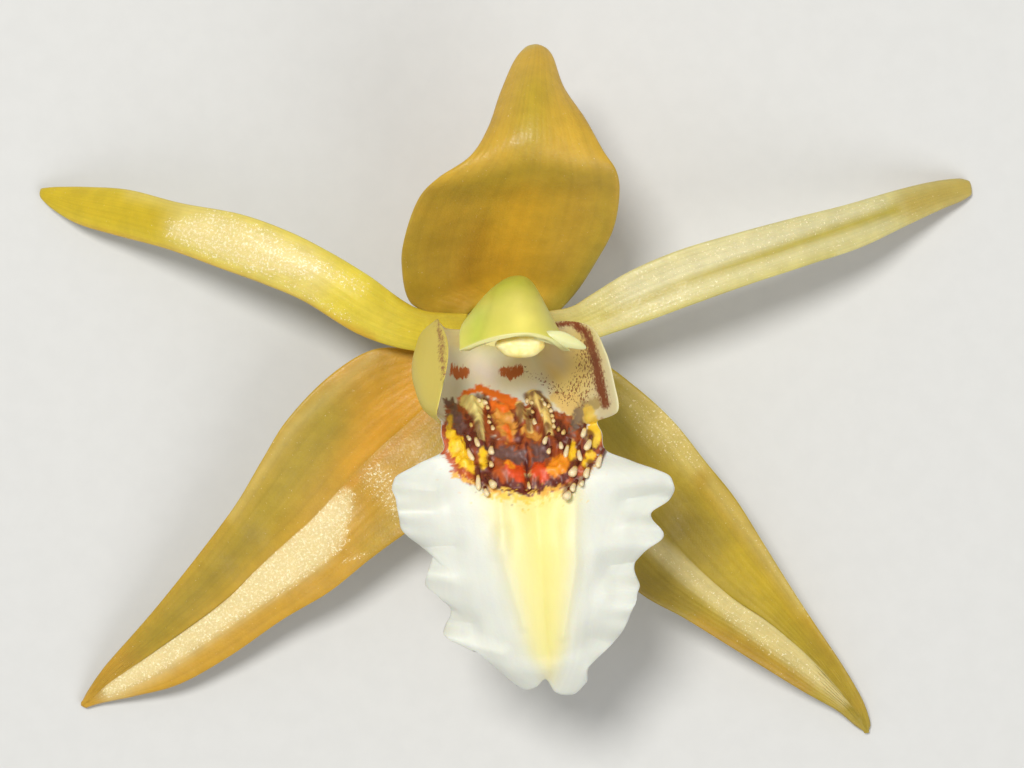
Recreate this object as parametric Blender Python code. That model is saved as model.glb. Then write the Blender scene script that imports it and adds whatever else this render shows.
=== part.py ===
"""One picked Coelogyne flower, lying face up on a table.

The flower is drawn as it looks from straight above, from EYE_HEIGHT over the table. Each drawn point
is (across, up, height) in millimetres: the first two are where the point is seen against the table,
and height is how far above the table it is. The function place() slides it along its sight line.
"""

import math

import bmesh
import bpy
import numpy as np
from mathutils import Vector

MM = 0.001
EYE_HEIGHT = 300.0
# The middle of the flower's box in the drawing, and the height of its lowest skin.
BOX_MIDDLE = (-0.65, -1.5)
LOWEST = 0.16

SEPAL_THICK = 0.9
PETAL_THICK = 0.9
LIP_THICK = 0.8
THIN_RIM = 0.55

# Rails run from the base to the tip. Each station is left or upper margin, midrib, right or lower margin.
DORSAL_SEPAL = [
    [(-4.8, 6.6, 8.1), (-0.8, 8.9, 8.0), (3.3, 6.6, 8.1)],
    [(-7.2, 6.9, 8.3), (-1.5, 9.7, 8.5), (4.6, 7.2, 8.3)],
    [(-10.2, 8.2, 9.3), (-2.2, 10.9, 9.7), (6.6, 9.4, 9.4)],
    [(-11.05, 12.0, 13.2), (-2.0, 12.8, 12.2), (8.4, 12.2, 13.2)],
    [(-10.6, 15.2, 17.6), (-1.2, 15.6, 15.8), (10.1, 15.4, 17.6)],
    [(-9.3, 18.6, 21.6), (-0.2, 18.6, 20.2), (10.75, 18.9, 21.6)],
    [(-7.4, 20.6, 24.0), (0.8, 20.8, 23.8), (10.45, 21.3, 24.0)],
    [(-4.2, 22.8, 24.6), (1.5, 23.4, 25.6), (9.1, 23.4, 24.6)],
    [(-2.4, 25.6, 23.6), (1.9, 26.4, 25.4), (7.3, 26.6, 23.6)],
    [(-1.2, 29.0, 21.8), (2.2, 29.6, 23.6), (5.2, 29.6, 21.8)],
    [(0.2, 32.2, 20.0), (2.5, 32.4, 21.2), (4.1, 32.5, 20.0)],
    [(1.5, 33.7, 19.0), (2.5, 33.9, 19.4), (3.4, 33.4, 19.0)],
]
LEFT_PETAL = [
    [(-4.4, 7.0, 9.9), (-4.65, 5.3, 9.7), (-4.5, 3.4, 9.7)],
    [(-9.5, 7.6, 11.4), (-9.5, 5.4, 11.6), (-9.7, 3.3, 11.0)],
    [(-14.4, 10.9, 12.2), (-14.6, 7.7, 12.7), (-15.2, 4.9, 11.8)],
    [(-18.4, 13.3, 12.4), (-19.4, 10.8, 13.0), (-20.7, 8.2, 12.0)],
    [(-22.4, 15.3, 12.0), (-23.4, 12.6, 12.7), (-24.6, 9.9, 11.6)],
    [(-27.2, 17.0, 10.8), (-28.1, 14.3, 11.5), (-29.0, 11.5, 10.4)],
    [(-33.1, 18.1, 8.4), (-33.8, 15.8, 9.0), (-34.5, 13.5, 8.0)],
    [(-38.2, 19.4, 5.4), (-38.8, 17.1, 5.9), (-39.4, 14.8, 5.0)],
    [(-42.2, 19.7, 3.0), (-42.8, 17.9, 3.4), (-43.4, 16.0, 2.8)],
    [(-45.2, 19.7, 1.5), (-45.5, 18.6, 1.7), (-45.8, 17.4, 1.4)],
    [(-47.1, 19.55, 0.6), (-47.2, 19.1, 0.6), (-47.1, 18.7, 0.6)],
]
RIGHT_PETAL = [
    [(2.9, 7.2, 9.9), (3.3, 5.3, 9.7), (3.1, 3.4, 9.7)],
    [(5.8, 7.7, 10.8), (6.2, 5.9, 10.7), (6.6, 4.0, 10.8)],
    [(8.0, 9.0, 11.6), (8.6, 6.8, 11.3), (9.2, 4.8, 11.6)],
    [(11.8, 11.3, 12.4), (12.6, 8.7, 12.0), (13.3, 6.2, 12.4)],
    [(16.6, 13.35, 12.8), (17.5, 10.7, 12.3), (18.5, 8.1, 12.8)],
    [(22.1, 15.0, 12.4), (23.1, 12.5, 11.9), (24.0, 10.05, 12.4)],
    [(28.1, 16.6, 10.8), (29.0, 14.3, 10.3), (29.8, 11.95, 10.8)],
    [(33.3, 17.9, 8.4), (34.2, 15.8, 7.9), (35.0, 13.7, 8.4)],
    [(38.1, 19.3, 5.4), (38.9, 17.6, 4.9), (39.6, 15.9, 5.4)],
    [(41.8, 20.2, 3.0), (42.3, 18.8, 2.7), (42.8, 17.4, 3.0)],
    [(44.6, 20.55, 1.4), (44.8, 19.4, 1.2), (45.0, 18.3, 1.4)],
    [(45.7, 20.3, 0.6), (45.9, 19.6, 0.6), (45.9, 18.9, 0.6)],
]
LEFT_LATERAL_SEPAL = [
    [(-5.0, 3.0, 7.9), (-3.5, 2.0, 7.9), (-2.0, 0.6, 7.9)],
    [(-10.5, 3.6, 8.6), (-7.0, -0.8, 8.2), (-3.6, -5.0, 8.8)],
    [(-14.3, 3.3, 9.2), (-9.6, -3.2, 8.0), (-5.6, -9.6, 9.4)],
    [(-18.5, 0.6, 9.6), (-13.0, -6.2, 7.8), (-8.0, -13.2, 9.6)],
    [(-22.5, -3.6, 9.6), (-16.6, -9.8, 7.2), (-10.9, -15.1, 9.4)],
    [(-25.0, -7.6, 8.8), (-20.3, -13.8, 6.5), (-14.3, -17.6, 8.8)],
    [(-27.6, -12.0, 7.8), (-24.5, -17.6, 5.6), (-18.3, -20.8, 7.8)],
    [(-31.0, -16.6, 6.6), (-28.6, -21.6, 4.6), (-23.0, -23.6, 6.4)],
    [(-34.8, -21.4, 5.2), (-33.0, -24.8, 3.5), (-28.2, -27.2, 4.8)],
    [(-38.0, -25.2, 3.9), (-37.0, -27.6, 2.4), (-33.2, -30.0, 3.4)],
    [(-40.6, -28.2, 2.6), (-40.2, -29.8, 1.6), (-37.6, -31.2, 2.2)],
    [(-42.3, -30.6, 1.4), (-42.0, -31.4, 0.9), (-41.0, -31.9, 1.2)],
    [(-43.05, -31.8, 0.7), (-43.1, -32.15, 0.6), (-42.6, -32.4, 0.7)],
]
RIGHT_LATERAL_SEPAL = [
    [(3.6, 3.0, 7.9), (2.1, 2.0, 7.9), (0.6, 0.6, 7.9)],
    [(8.4, 2.4, 8.6), (5.2, -1.8, 8.2), (2.4, -5.6, 8.8)],
    [(12.4, -0.3, 9.2), (8.4, -5.8, 8.0), (4.2, -10.6, 9.4)],
    [(16.2, -3.8, 9.6), (11.0, -9.2, 7.8), (6.4, -14.6, 9.6)],
    [(19.4, -7.8, 9.6), (13.8, -12.8, 7.2), (9.4, -18.0, 9.4)],
    [(22.3, -11.4, 8.8), (17.4, -17.2, 6.5), (13.2, -21.2, 8.6)],
    [(25.2, -16.0, 7.8), (21.4, -20.9, 5.6), (17.2, -23.4, 7.4)],
    [(28.2, -20.8, 6.4), (25.4, -23.6, 4.4), (21.4, -26.0, 6.0)],
    [(31.2, -25.4, 5.0), (28.8, -26.4, 3.3), (25.6, -28.6, 4.6)],
    [(33.4, -28.8, 3.6), (31.6, -29.2, 2.3), (29.2, -30.8, 3.2)],
    [(35.0, -31.6, 2.2), (33.8, -31.9, 1.5), (32.4, -32.6, 2.0)],
    [(35.7, -33.8, 1.2), (35.2, -34.0, 0.8), (34.4, -34.2, 1.1)],
    [(35.7, -34.8, 0.6), (35.5, -34.9, 0.6), (35.3, -34.8, 0.6)],
]
# The lip's stations hold seven points: margin, wall, edge of the disc, middle, and the same outwards.
LIP = [
    [(-3.8, 5.4, 11.1), (-3.3, 4.4, 11.0), (-2.3, 3.8, 11.0), (-0.7, 3.6, 11.0),
     (0.9, 3.8, 11.0), (1.9, 4.4, 11.0), (2.4, 5.4, 11.1)],
    [(-6.6, 5.6, 16.0), (-6.0, 4.0, 14.4), (-4.2, 3.0, 13.2), (-1.5, 2.6, 12.7),
     (1.4, 3.0, 13.0), (3.2, 4.0, 14.2), (4.0, 5.6, 16.0)],
    [(-7.4, 6.5, 21.5), (-8.6, 4.6, 18.0), (-5.4, 2.0, 15.0), (-1.8, 1.6, 14.4),
     (2.2, 2.0, 14.8), (3.6, 3.6, 17.5), (4.6, 6.3, 21.0)],
    [(-6.5, 4.6, 25.5), (-9.4, 3.4, 20.5), (-6.0, 0.6, 16.8), (-1.8, 0.4, 16.0),
     (2.8, 0.6, 16.6), (5.6, 2.6, 20.0), (7.8, 5.8, 25.0)],
    [(-6.4, 2.6, 27.5), (-9.75, 1.6, 22.5), (-6.2, -0.8, 18.4), (-1.4, -0.8, 17.6),
     (3.6, -0.8, 18.2), (6.8, 1.0, 22.0), (9.4, 3.2, 27.5)],
    [(-6.8, 0.2, 28.5), (-9.5, -0.2, 24.0), (-6.0, -2.2, 20.0), (-0.6, -2.2, 19.2),
     (4.4, -2.2, 19.8), (7.8, -1.0, 23.5), (10.2, 0.2, 28.5)],
    [(-7.5, -2.9, 28.5), (-8.6, -2.4, 25.0), (-5.6, -3.6, 21.4), (0.2, -3.8, 20.8),
     (5.2, -3.6, 21.4), (8.4, -2.8, 24.5), (10.6, -2.7, 28.5)],
    [(-7.1, -3.8, 24.0), (-6.7, -4.0, 23.2), (-4.8, -4.6, 22.2), (0.5, -5.0, 21.8),
     (5.2, -4.6, 22.4), (7.4, -4.0, 23.2), (8.6, -3.6, 24.0)],
    [(-7.1, -5.0, 24.2), (-6.2, -5.4, 23.8), (-4.4, -5.9, 23.4), (0.9, -6.5, 23.0),
     (5.5, -5.9, 23.6), (7.7, -5.4, 24.0), (9.0, -4.9, 24.2)],
    [(-6.95, -6.7, 24.6), (-5.6, -7.2, 24.6), (-3.9, -7.8, 24.6), (1.3, -8.4, 24.4),
     (5.6, -7.8, 24.8), (7.6, -7.2, 24.9), (9.4, -6.6, 24.6)],
    [(-9.4, -8.0, 24.8), (-7.0, -8.8, 25.2), (-3.6, -9.6, 25.6), (1.5, -10.2, 25.6),
     (5.9, -9.6, 25.8), (9.6, -8.6, 25.6), (12.0, -7.7, 24.8)],
    [(-11.7, -9.6, 24.2), (-7.6, -10.8, 25.2), (-3.4, -11.6, 26.2), (1.7, -12.2, 26.4),
     (5.9, -11.6, 26.4), (11.2, -10.0, 25.6), (15.6, -9.2, 24.4)],
    [(-11.6, -12.0, 24.6), (-7.4, -13.2, 25.4), (-3.1, -14.0, 26.4), (1.9, -14.4, 26.8),
     (5.9, -14.0, 26.6), (11.0, -12.4, 25.2), (15.9, -11.4, 23.6)],
    [(-11.1, -14.2, 24.8), (-7.2, -15.6, 25.6), (-2.8, -16.4, 26.6), (2.1, -16.8, 27.0),
     (5.9, -16.4, 26.8), (10.2, -15.0, 25.6), (14.0, -13.0, 24.4)],
    [(-9.8, -15.6, 24.2), (-6.6, -17.4, 25.2), (-2.5, -18.6, 26.4), (2.3, -19.0, 26.9),
     (5.9, -18.6, 26.6), (10.2, -17.0, 25.2), (15.0, -15.4, 24.0)],
    [(-7.9, -17.2, 24.4), (-5.6, -19.4, 25.0), (-2.2, -20.8, 26.0), (2.5, -21.2, 26.5),
     (5.9, -20.8, 26.2), (9.2, -19.2, 25.0), (12.2, -17.8, 24.2)],
    [(-8.7, -20.0, 23.4), (-5.4, -21.6, 24.4), (-1.8, -22.8, 25.4), (2.7, -23.2, 25.9),
     (5.8, -22.8, 25.6), (9.0, -21.4, 24.6), (12.8, -20.2, 23.4)],
    [(-6.2, -22.4, 23.6), (-4.0, -23.6, 24.2), (-1.2, -24.8, 24.8), (2.9, -25.2, 25.2),
     (5.7, -24.8, 25.0), (8.4, -23.6, 24.2), (11.8, -23.2, 23.4)],
    [(-6.7, -25.2, 22.4), (-3.8, -25.8, 23.2), (-0.8, -26.6, 24.0), (3.1, -27.0, 24.4),
     (5.6, -26.6, 24.2), (7.8, -26.0, 23.4), (10.2, -25.8, 22.6)],
    [(-3.6, -26.6, 22.6), (-2.0, -27.6, 22.8), (0.2, -28.4, 23.2), (3.3, -28.4, 23.6),
     (5.5, -28.2, 23.4), (7.2, -27.8, 22.8), (8.2, -27.6, 22.2)],
    [(-0.2, -29.4, 21.0), (1.2, -30.5, 20.8), (2.4, -30.3, 21.4), (3.4, -29.5, 22.2),
     (4.4, -30.9, 21.4), (6.2, -31.0, 20.8), (7.4, -29.8, 20.8)],
]
# The three keels of the callus, as places across the disc from -1 to 1, with their height.
KEELS = [(-0.36, 1.1), (0.04, 0.7), (0.38, 1.1)]
KEEL_WIDTH = 0.09
KEEL_START, KEEL_FULL, KEEL_FADE, KEEL_END = 0.16, 0.26, 0.46, 0.54

# The column's stations: centre, half width, height of its back, and depth of its front.
# A negative depth is a hollow front, under the hood.
COLUMN = [
    ((-0.7, 6.4, 11.5), 2.0, 1.8, 1.8),
    ((-0.5, 7.2, 14.8), 2.1, 1.9, 1.8),
    ((-0.1, 8.2, 18.5), 2.1, 2.0, 1.6),
    ((0.2, 8.6, 22.4), 2.2, 2.1, 1.3),
    ((0.1, 7.7, 25.8), 3.4, 2.4, 0.4),
    ((0.2, 5.7, 28.6), 4.65, 2.5, -0.8),
    ((0.9, 3.3, 30.6), 5.3, 2.3, -1.5),
]
# The anther cap is a dome with its rim's middle here, its half sizes and its wall.
ANTHER_MIDDLE = (0.8, 3.8, 29.4)
ANTHER_SIZE = (2.0, 0.85, 1.6)
ANTHER_WALL = 0.3
# The pollen masses stand in a row under the cap, joined by a short stalk.
POLLEN_MIDDLE = (0.8, 3.8, 29.55)
POLLEN_COUNT = 4
POLLEN_PITCH = 0.62
POLLEN_RADIUS = 0.34
POLLEN_STALK = 0.14

# The ovary and its stalk, as centres with a radius, down from under the hub and along the table.
STALK = [
    ((-0.7, 4.8, 10.6), 3.3),
    ((-0.7, 4.8, 9.8), 3.6),
    ((-0.7, 4.8, 8.0), 3.5),
    ((-0.7, 4.3, 6.0), 3.0),
    ((-0.6, 2.6, 4.0), 2.7),
    ((-0.4, -0.8, 2.9), 2.5),
    ((0.0, -6.0, 2.5), 2.3),
    ((0.6, -12.0, 2.1), 1.9),
    ((1.4, -19.0, 1.75), 1.6),
    ((2.2, -26.0, 1.65), 1.5),
    ((2.3, -26.8, 1.75), 1.6),
]


def place(point):
    """Row position in metres of a drawn point, slid along its sight line to its height."""
    across, up, height = point
    nearer = 1.0 - height / EYE_HEIGHT
    shift_x, shift_y = BOX_MIDDLE
    return Vector((across * nearer - shift_x, up * nearer - shift_y, height - LOWEST)) * MM


def curve_through(points, count):
    """count points on a smooth curve through the given ones, with Catmull-Rom tangents."""
    given = np.asarray(points, float)
    last = len(given) - 1
    at = np.linspace(0, last, count)
    before = np.minimum(at.astype(int), last - 1)
    share = (at - before)[:, None]
    slope = np.gradient(given, axis=0)
    start, end = given[before], given[before + 1]
    bend_in, bend_out = slope[before], slope[before + 1]
    square, cube = share**2, share**3
    return (
        start * (2 * cube - 3 * square + 1)
        + bend_in * (cube - 2 * square + share)
        + end * (3 * square - 2 * cube)
        + bend_out * (cube - square)
    )


def blade_grid(stations, along, half_across, crease):
    """Grid of row positions for a sepal or petal. A crease near 1 makes the midrib a fold, and 2 a bowl."""
    rails = [curve_through([[*place(p)] for p in rail], along) for rail in zip(*stations)]
    first, middle, last = rails
    across = np.linspace(-1, 1, 2 * half_across + 1)[None, :, None]
    bowl = ((first + last) / 2 - middle)[:, None, :]
    spread = ((last - first) / 2)[:, None, :]
    return middle[:, None, :] + across * spread + np.abs(across) ** crease * bowl


def lip_grid(along, across):
    """Grid of row positions for the lip, smooth through its seven rails."""
    rails = np.array([curve_through([[*place(p)] for p in rail], along) for rail in zip(*LIP)])
    return np.array([curve_through(rails[:, row], across) for row in range(along)])


def grid_normals(grid):
    """Unit normals on the side that faces the eye."""
    down, over = np.gradient(grid, axis=0), np.gradient(grid, axis=1)
    normal = -np.cross(over, down)
    return normal / np.linalg.norm(normal, axis=2, keepdims=True)


def rim_taper(shape):
    """Share of the full thickness at each grid point, thinner towards the side margins."""
    across = np.linspace(-1, 1, shape[1])[None, :, None]
    return 1.0 - (1.0 - THIN_RIM) * np.abs(across) ** 3


def keel_heights(shape):
    """How far the lip's keels stand up from its disc, in metres."""
    along = np.linspace(0, 1, shape[0])[:, None]
    across = np.linspace(-1, 1, shape[1])[None, :]
    rise = np.clip((along - KEEL_START) / (KEEL_FULL - KEEL_START), 0, 1)
    fall = np.clip((KEEL_END - along) / (KEEL_END - KEEL_FADE), 0, 1)
    ridges = sum(tall * np.exp(-(((across - at) / KEEL_WIDTH) ** 2)) for at, tall in KEELS)
    return (rise * fall * ridges * MM)[:, :, None]


def add_object(name, vertices, faces, material):
    """A smooth-shaded object from points in metres and faces, with its faces turned outwards."""
    mesh = bpy.data.meshes.new(name)
    mesh.from_pydata([tuple(v) for v in vertices], [], faces)
    work = bmesh.new()
    work.from_mesh(mesh)
    bmesh.ops.recalc_face_normals(work, faces=work.faces)
    work.to_mesh(mesh)
    work.free()
    mesh.shade_smooth()
    mesh.materials.append(material)
    obj = bpy.data.objects.new(name, mesh)
    bpy.context.scene.collection.objects.link(obj)
    return obj


def add_sheet(name, grid, thick, material, raised=0.0):
    """A closed solid of a grid's front and back, raised more at the front where keels stand."""
    normal = grid_normals(grid)
    half = normal * rim_taper(grid.shape) * thick * MM / 2
    front, back = grid + half + normal * raised, grid - half
    rows, columns = grid.shape[:2]
    size = rows * columns
    vertices = np.concatenate([front.reshape(-1, 3), back.reshape(-1, 3)])

    def at(row, column):
        return row * columns + column

    faces = []
    for row in range(rows - 1):
        for column in range(columns - 1):
            quad = [at(row, column), at(row, column + 1), at(row + 1, column + 1), at(row + 1, column)]
            faces += [quad, [size + corner for corner in reversed(quad)]]
    border = [at(0, c) for c in range(columns)] + [at(r, columns - 1) for r in range(1, rows)]
    border += [at(rows - 1, c) for c in range(columns - 2, -1, -1)] + [at(r, 0) for r in range(rows - 2, 0, -1)]
    for here, after in zip(border, border[1:] + border[:1]):
        faces.append([here, size + here, size + after, after])
    return add_object(name, vertices, faces, material)


def add_loft(name, rings, material):
    """A closed solid through rings of points, with a flat face at both ends."""
    count = len(rings[0])
    vertices = [point for ring in rings for point in ring]
    faces = [list(range(count)), [len(vertices) - 1 - corner for corner in range(count)]]
    for ring in range(len(rings) - 1):
        for corner in range(count):
            after = (corner + 1) % count
            low, high = ring * count, (ring + 1) * count
            faces.append([low + corner, low + after, high + after, high + corner])
    return add_object(name, vertices, faces, material)


def add_tube(name, stations, count, rings, material):
    """A round solid swept through centres with radii."""
    path = curve_through([[*place(centre), radius * MM] for centre, radius in stations], rings)
    centres, radii = path[:, :3], path[:, 3]
    tangents = np.gradient(centres, axis=0)
    loops = []
    for centre, radius, tangent in zip(centres, radii, tangents):
        over = np.array([1.0, 0.0, 0.0])
        side = np.cross(tangent, over)
        side /= np.linalg.norm(side)
        turns = [2 * math.pi * corner / count for corner in range(count)]
        loops.append([centre + radius * (over * math.cos(a) + side * math.sin(a)) for a in turns])
    return add_loft(name, loops, material)


def add_column(name, arc, rings, material):
    """The column: a round stalk that bends forward and widens into a winged hood, hollow in front."""
    numbers = [[*place(centre), half * MM, back * MM, front * MM] for centre, half, back, front in COLUMN]
    path = curve_through(numbers, rings)
    tangents = np.gradient(path[:, :3], axis=0)
    loops = []
    for row, tangent in zip(path, tangents):
        centre, half, back, front = row[:3], *row[3:]
        over = np.array([1.0, 0.0, 0.0])
        up = np.cross(tangent, over)
        up *= math.copysign(1.0, up[1]) / np.linalg.norm(up)
        rim = 1.0 - THIN_RIM * max(0.0, -front) / half
        turns = np.linspace(-math.pi / 2, math.pi / 2, arc)
        outer = [centre + over * half * math.sin(a) + up * back * math.cos(a) for a in turns]
        inner = [centre + over * half * rim * math.sin(a) - up * front * math.cos(a) for a in turns[-2:0:-1]]
        loops.append(outer + inner)
    return add_loft(name, loops, material)


def half_dome(middle, size, count, rings, shrink):
    """Rings of points over a dome that opens downwards, from its rim to near its top."""
    centre = place(middle)
    loops = []
    for step in range(rings):
        lift = math.pi / 2 * step / rings
        loops.append([
            centre + Vector((
                (size[0] - shrink) * MM * math.cos(lift) * math.cos(2 * math.pi * corner / count),
                (size[1] - shrink) * MM * math.cos(lift) * math.sin(2 * math.pi * corner / count),
                (size[2] - shrink) * MM * math.sin(lift),
            ))
            for corner in range(count)
        ])
    return loops


def add_anther(name, count, rings, material):
    """The anther cap: a small dome with a wall, open underneath over the pollen."""
    outer = half_dome(ANTHER_MIDDLE, ANTHER_SIZE, count, rings, 0.0)
    inner = half_dome(ANTHER_MIDDLE, ANTHER_SIZE, count, rings, ANTHER_WALL)
    return add_loft(name, list(reversed(outer)) + inner, material)


def add_pollen(name, count, rings, material):
    """The waxy pollen masses, a row of beads grown on one short stalk."""
    centre = place(POLLEN_MIDDLE)
    reach = POLLEN_COUNT * POLLEN_PITCH / 2
    loops = []
    for along in np.linspace(-reach + 0.05, reach - 0.05, rings):
        swell = abs(math.sin(math.pi * (along + reach) / POLLEN_PITCH))
        radius = POLLEN_STALK + (POLLEN_RADIUS - POLLEN_STALK) * math.sqrt(swell)
        turns = [2 * math.pi * corner / count for corner in range(count)]
        loops.append([
            centre + Vector((along, radius * math.cos(a), radius * math.sin(a))) * MM for a in turns
        ])
    return add_loft(name, loops, material)


def add_material(name, colour, roughness):
    material = bpy.data.materials.new(name)
    material.use_nodes = True
    shader = material.node_tree.nodes["Principled BSDF"]
    shader.inputs["Base Color"].default_value = (*colour, 1.0)
    shader.inputs["Roughness"].default_value = roughness
    shader.inputs["Metallic"].default_value = 0.0
    return material


def main():
    for obj in list(bpy.data.objects):
        bpy.data.objects.remove(obj)
    sepal = add_material("sepal_ochre", (0.56, 0.33, 0.03), 0.45)
    petal = add_material("petal_yellow", (0.66, 0.55, 0.14), 0.45)
    white = add_material("lip_white", (0.85, 0.86, 0.74), 0.5)
    green = add_material("column_green", (0.70, 0.70, 0.18), 0.4)
    cream = add_material("anther_cream", (0.88, 0.80, 0.35), 0.4)
    wax = add_material("pollen_wax", (0.85, 0.62, 0.12), 0.35)
    stalk = add_material("stalk_green", (0.36, 0.42, 0.10), 0.5)

    add_sheet("dorsal_sepal", blade_grid(DORSAL_SEPAL, 26, 4, 1.6), SEPAL_THICK, sepal)
    add_sheet("left_lateral_sepal", blade_grid(LEFT_LATERAL_SEPAL, 26, 4, 1.4), SEPAL_THICK, sepal)
    add_sheet("right_lateral_sepal", blade_grid(RIGHT_LATERAL_SEPAL, 26, 4, 1.4), SEPAL_THICK, sepal)
    add_sheet("left_petal", blade_grid(LEFT_PETAL, 24, 2, 2.0), PETAL_THICK, petal)
    add_sheet("right_petal", blade_grid(RIGHT_PETAL, 24, 2, 2.0), PETAL_THICK, petal)
    lip = lip_grid(42, 25)
    add_sheet("lip", lip, LIP_THICK, white, keel_heights(lip.shape))
    add_column("column", 13, 16, green)
    add_anther("anther_cap", 20, 5, cream)
    add_pollen("pollinarium", 10, 25, wax)
    add_tube("ovary_and_pedicel", STALK, 14, 22, stalk)


main()
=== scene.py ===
"""Looks for one picked Coelogyne flower that lies face up on a table.

The flower is drawn as it looks from straight above. Each drawn point is (across, up, height) in
millimetres: the first two are where the point is seen against the table, from EYE_HEIGHT over it.
"""

import math
import random

import bpy
import numpy as np
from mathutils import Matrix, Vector


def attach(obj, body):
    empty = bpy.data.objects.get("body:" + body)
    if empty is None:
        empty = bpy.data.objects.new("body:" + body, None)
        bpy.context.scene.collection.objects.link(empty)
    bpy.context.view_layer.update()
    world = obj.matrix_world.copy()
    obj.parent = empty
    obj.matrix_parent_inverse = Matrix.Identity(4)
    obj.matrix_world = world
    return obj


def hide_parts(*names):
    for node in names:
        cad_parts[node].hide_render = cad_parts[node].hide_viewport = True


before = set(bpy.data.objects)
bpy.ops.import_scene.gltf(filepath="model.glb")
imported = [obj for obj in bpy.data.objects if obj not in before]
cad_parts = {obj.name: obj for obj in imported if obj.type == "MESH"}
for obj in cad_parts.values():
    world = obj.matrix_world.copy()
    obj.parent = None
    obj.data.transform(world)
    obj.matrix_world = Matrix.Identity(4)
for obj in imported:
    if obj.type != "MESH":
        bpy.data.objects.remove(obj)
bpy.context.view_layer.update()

MM = 0.001
EYE_HEIGHT = 300.0
BOX_MIDDLE = np.array((-0.65, -1.5))
LOWEST = 0.16
VIEW_WIDTH = 102.4
SENSOR_WIDTH = 36.0

SEPAL_THICK = 0.75
PETAL_THICK = 0.75
LIP_THICK = 0.6
FLAP_THICK = 0.3
# A sheet rounds off at its sides and ends: the higher the power, the closer to the edge this begins.
SIDE_POWER = 14
END_POWER = 60
MARGIN_THINNING = 0.35
THINNEST_SHARE = 0.04
# A crease near 1 folds a blade along its midrib, and one near 2 makes it a bowl. A blade whose crease is
# under FOLD_LIMIT also has a groove along its midrib.
DORSAL_CREASE = 1.6
LATERAL_CREASE = 1.35
PETAL_CREASE = 1.8
FLAP_CREASE = 1.5
FOLD_LIMIT = 1.5
SEPAL_VEINS = 9
PETAL_VEINS = 4
# Heights on a sepal or petal in millimetres, and the groove's width as a share of the half width.
VEIN_HEIGHT = 0.012
GROOVE_DEPTH = 0.07
GROOVE_WIDTH = 0.025
WAVE_HEIGHT = 0.30
FINE_HEIGHT = 0.04
# Rows from base to tip, and columns from the midrib to a margin. The lip's columns span all of it.
DORSAL_GRID = (200, 40)
LATERAL_GRID = (220, 38)
PETAL_GRID = (240, 22)
FLAP_GRID = (40, 10)
LIP_GRID = (280, 150)

# Lights as place, size, power and colour, in metres and watts.
KEY_LIGHT = ((-0.14, 0.20, 0.70), 0.20, 4.0, (1.0, 0.985, 0.96))
FILL_LIGHT = ((0.32, -0.38, 0.5), 0.5, 1.5, (0.97, 0.98, 1.0))
WORLD_LIGHT = 0.38
FLOOR_REACH = 1.2

# Rails run from the base to the tip. Each station is left or upper margin, midrib, right or lower margin.
DORSAL_SEPAL = [
    [(-4.8, 6.6, 8.1), (-0.8, 8.9, 8.0), (3.3, 6.6, 8.1)],
    [(-7.2, 6.9, 8.3), (-1.5, 9.7, 8.5), (4.6, 7.2, 8.3)],
    [(-10.2, 8.2, 9.3), (-2.2, 10.9, 9.7), (6.6, 9.4, 9.4)],
    [(-11.05, 12.0, 13.2), (-2.0, 12.8, 12.2), (8.4, 12.2, 13.2)],
    [(-10.6, 15.2, 17.6), (-1.2, 15.6, 15.8), (10.1, 15.4, 17.6)],
    [(-9.3, 18.6, 21.6), (-0.2, 18.6, 20.2), (10.75, 18.9, 21.6)],
    [(-7.4, 20.6, 24.0), (0.8, 20.8, 23.8), (10.45, 21.3, 24.0)],
    [(-4.2, 22.8, 24.6), (1.5, 23.4, 25.6), (9.1, 23.4, 24.6)],
    [(-2.4, 25.6, 23.6), (1.9, 26.4, 25.4), (7.3, 26.6, 23.6)],
    [(-1.2, 29.0, 21.8), (2.2, 29.6, 23.6), (5.2, 29.6, 21.8)],
    [(0.2, 32.2, 20.0), (2.5, 32.4, 21.2), (4.1, 32.5, 20.0)],
    [(1.5, 33.7, 19.0), (2.5, 33.9, 19.4), (3.4, 33.4, 19.0)],
]
LEFT_PETAL = [
    [(-4.4, 7.0, 9.9), (-4.65, 5.3, 9.7), (-4.5, 3.4, 9.7)],
    [(-9.5, 7.6, 11.4), (-9.5, 5.4, 11.6), (-9.7, 3.3, 11.0)],
    [(-14.4, 10.9, 12.2), (-14.6, 7.7, 12.7), (-15.2, 4.9, 11.8)],
    [(-18.4, 13.3, 12.4), (-19.4, 10.8, 13.0), (-20.7, 8.2, 12.0)],
    [(-22.4, 15.3, 12.0), (-23.4, 12.6, 12.7), (-24.6, 9.9, 11.6)],
    [(-27.2, 17.0, 10.8), (-28.1, 14.3, 11.5), (-29.0, 11.5, 10.4)],
    [(-33.1, 18.1, 8.4), (-33.8, 15.8, 9.0), (-34.5, 13.5, 8.0)],
    [(-38.2, 19.4, 5.4), (-38.8, 17.1, 5.9), (-39.4, 14.8, 5.0)],
    [(-42.2, 19.7, 3.0), (-42.8, 17.9, 3.4), (-43.4, 16.0, 2.8)],
    [(-45.2, 19.7, 1.5), (-45.5, 18.6, 1.7), (-45.8, 17.4, 1.4)],
    [(-47.1, 19.55, 0.6), (-47.2, 19.1, 0.6), (-47.1, 18.7, 0.6)],
]
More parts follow.
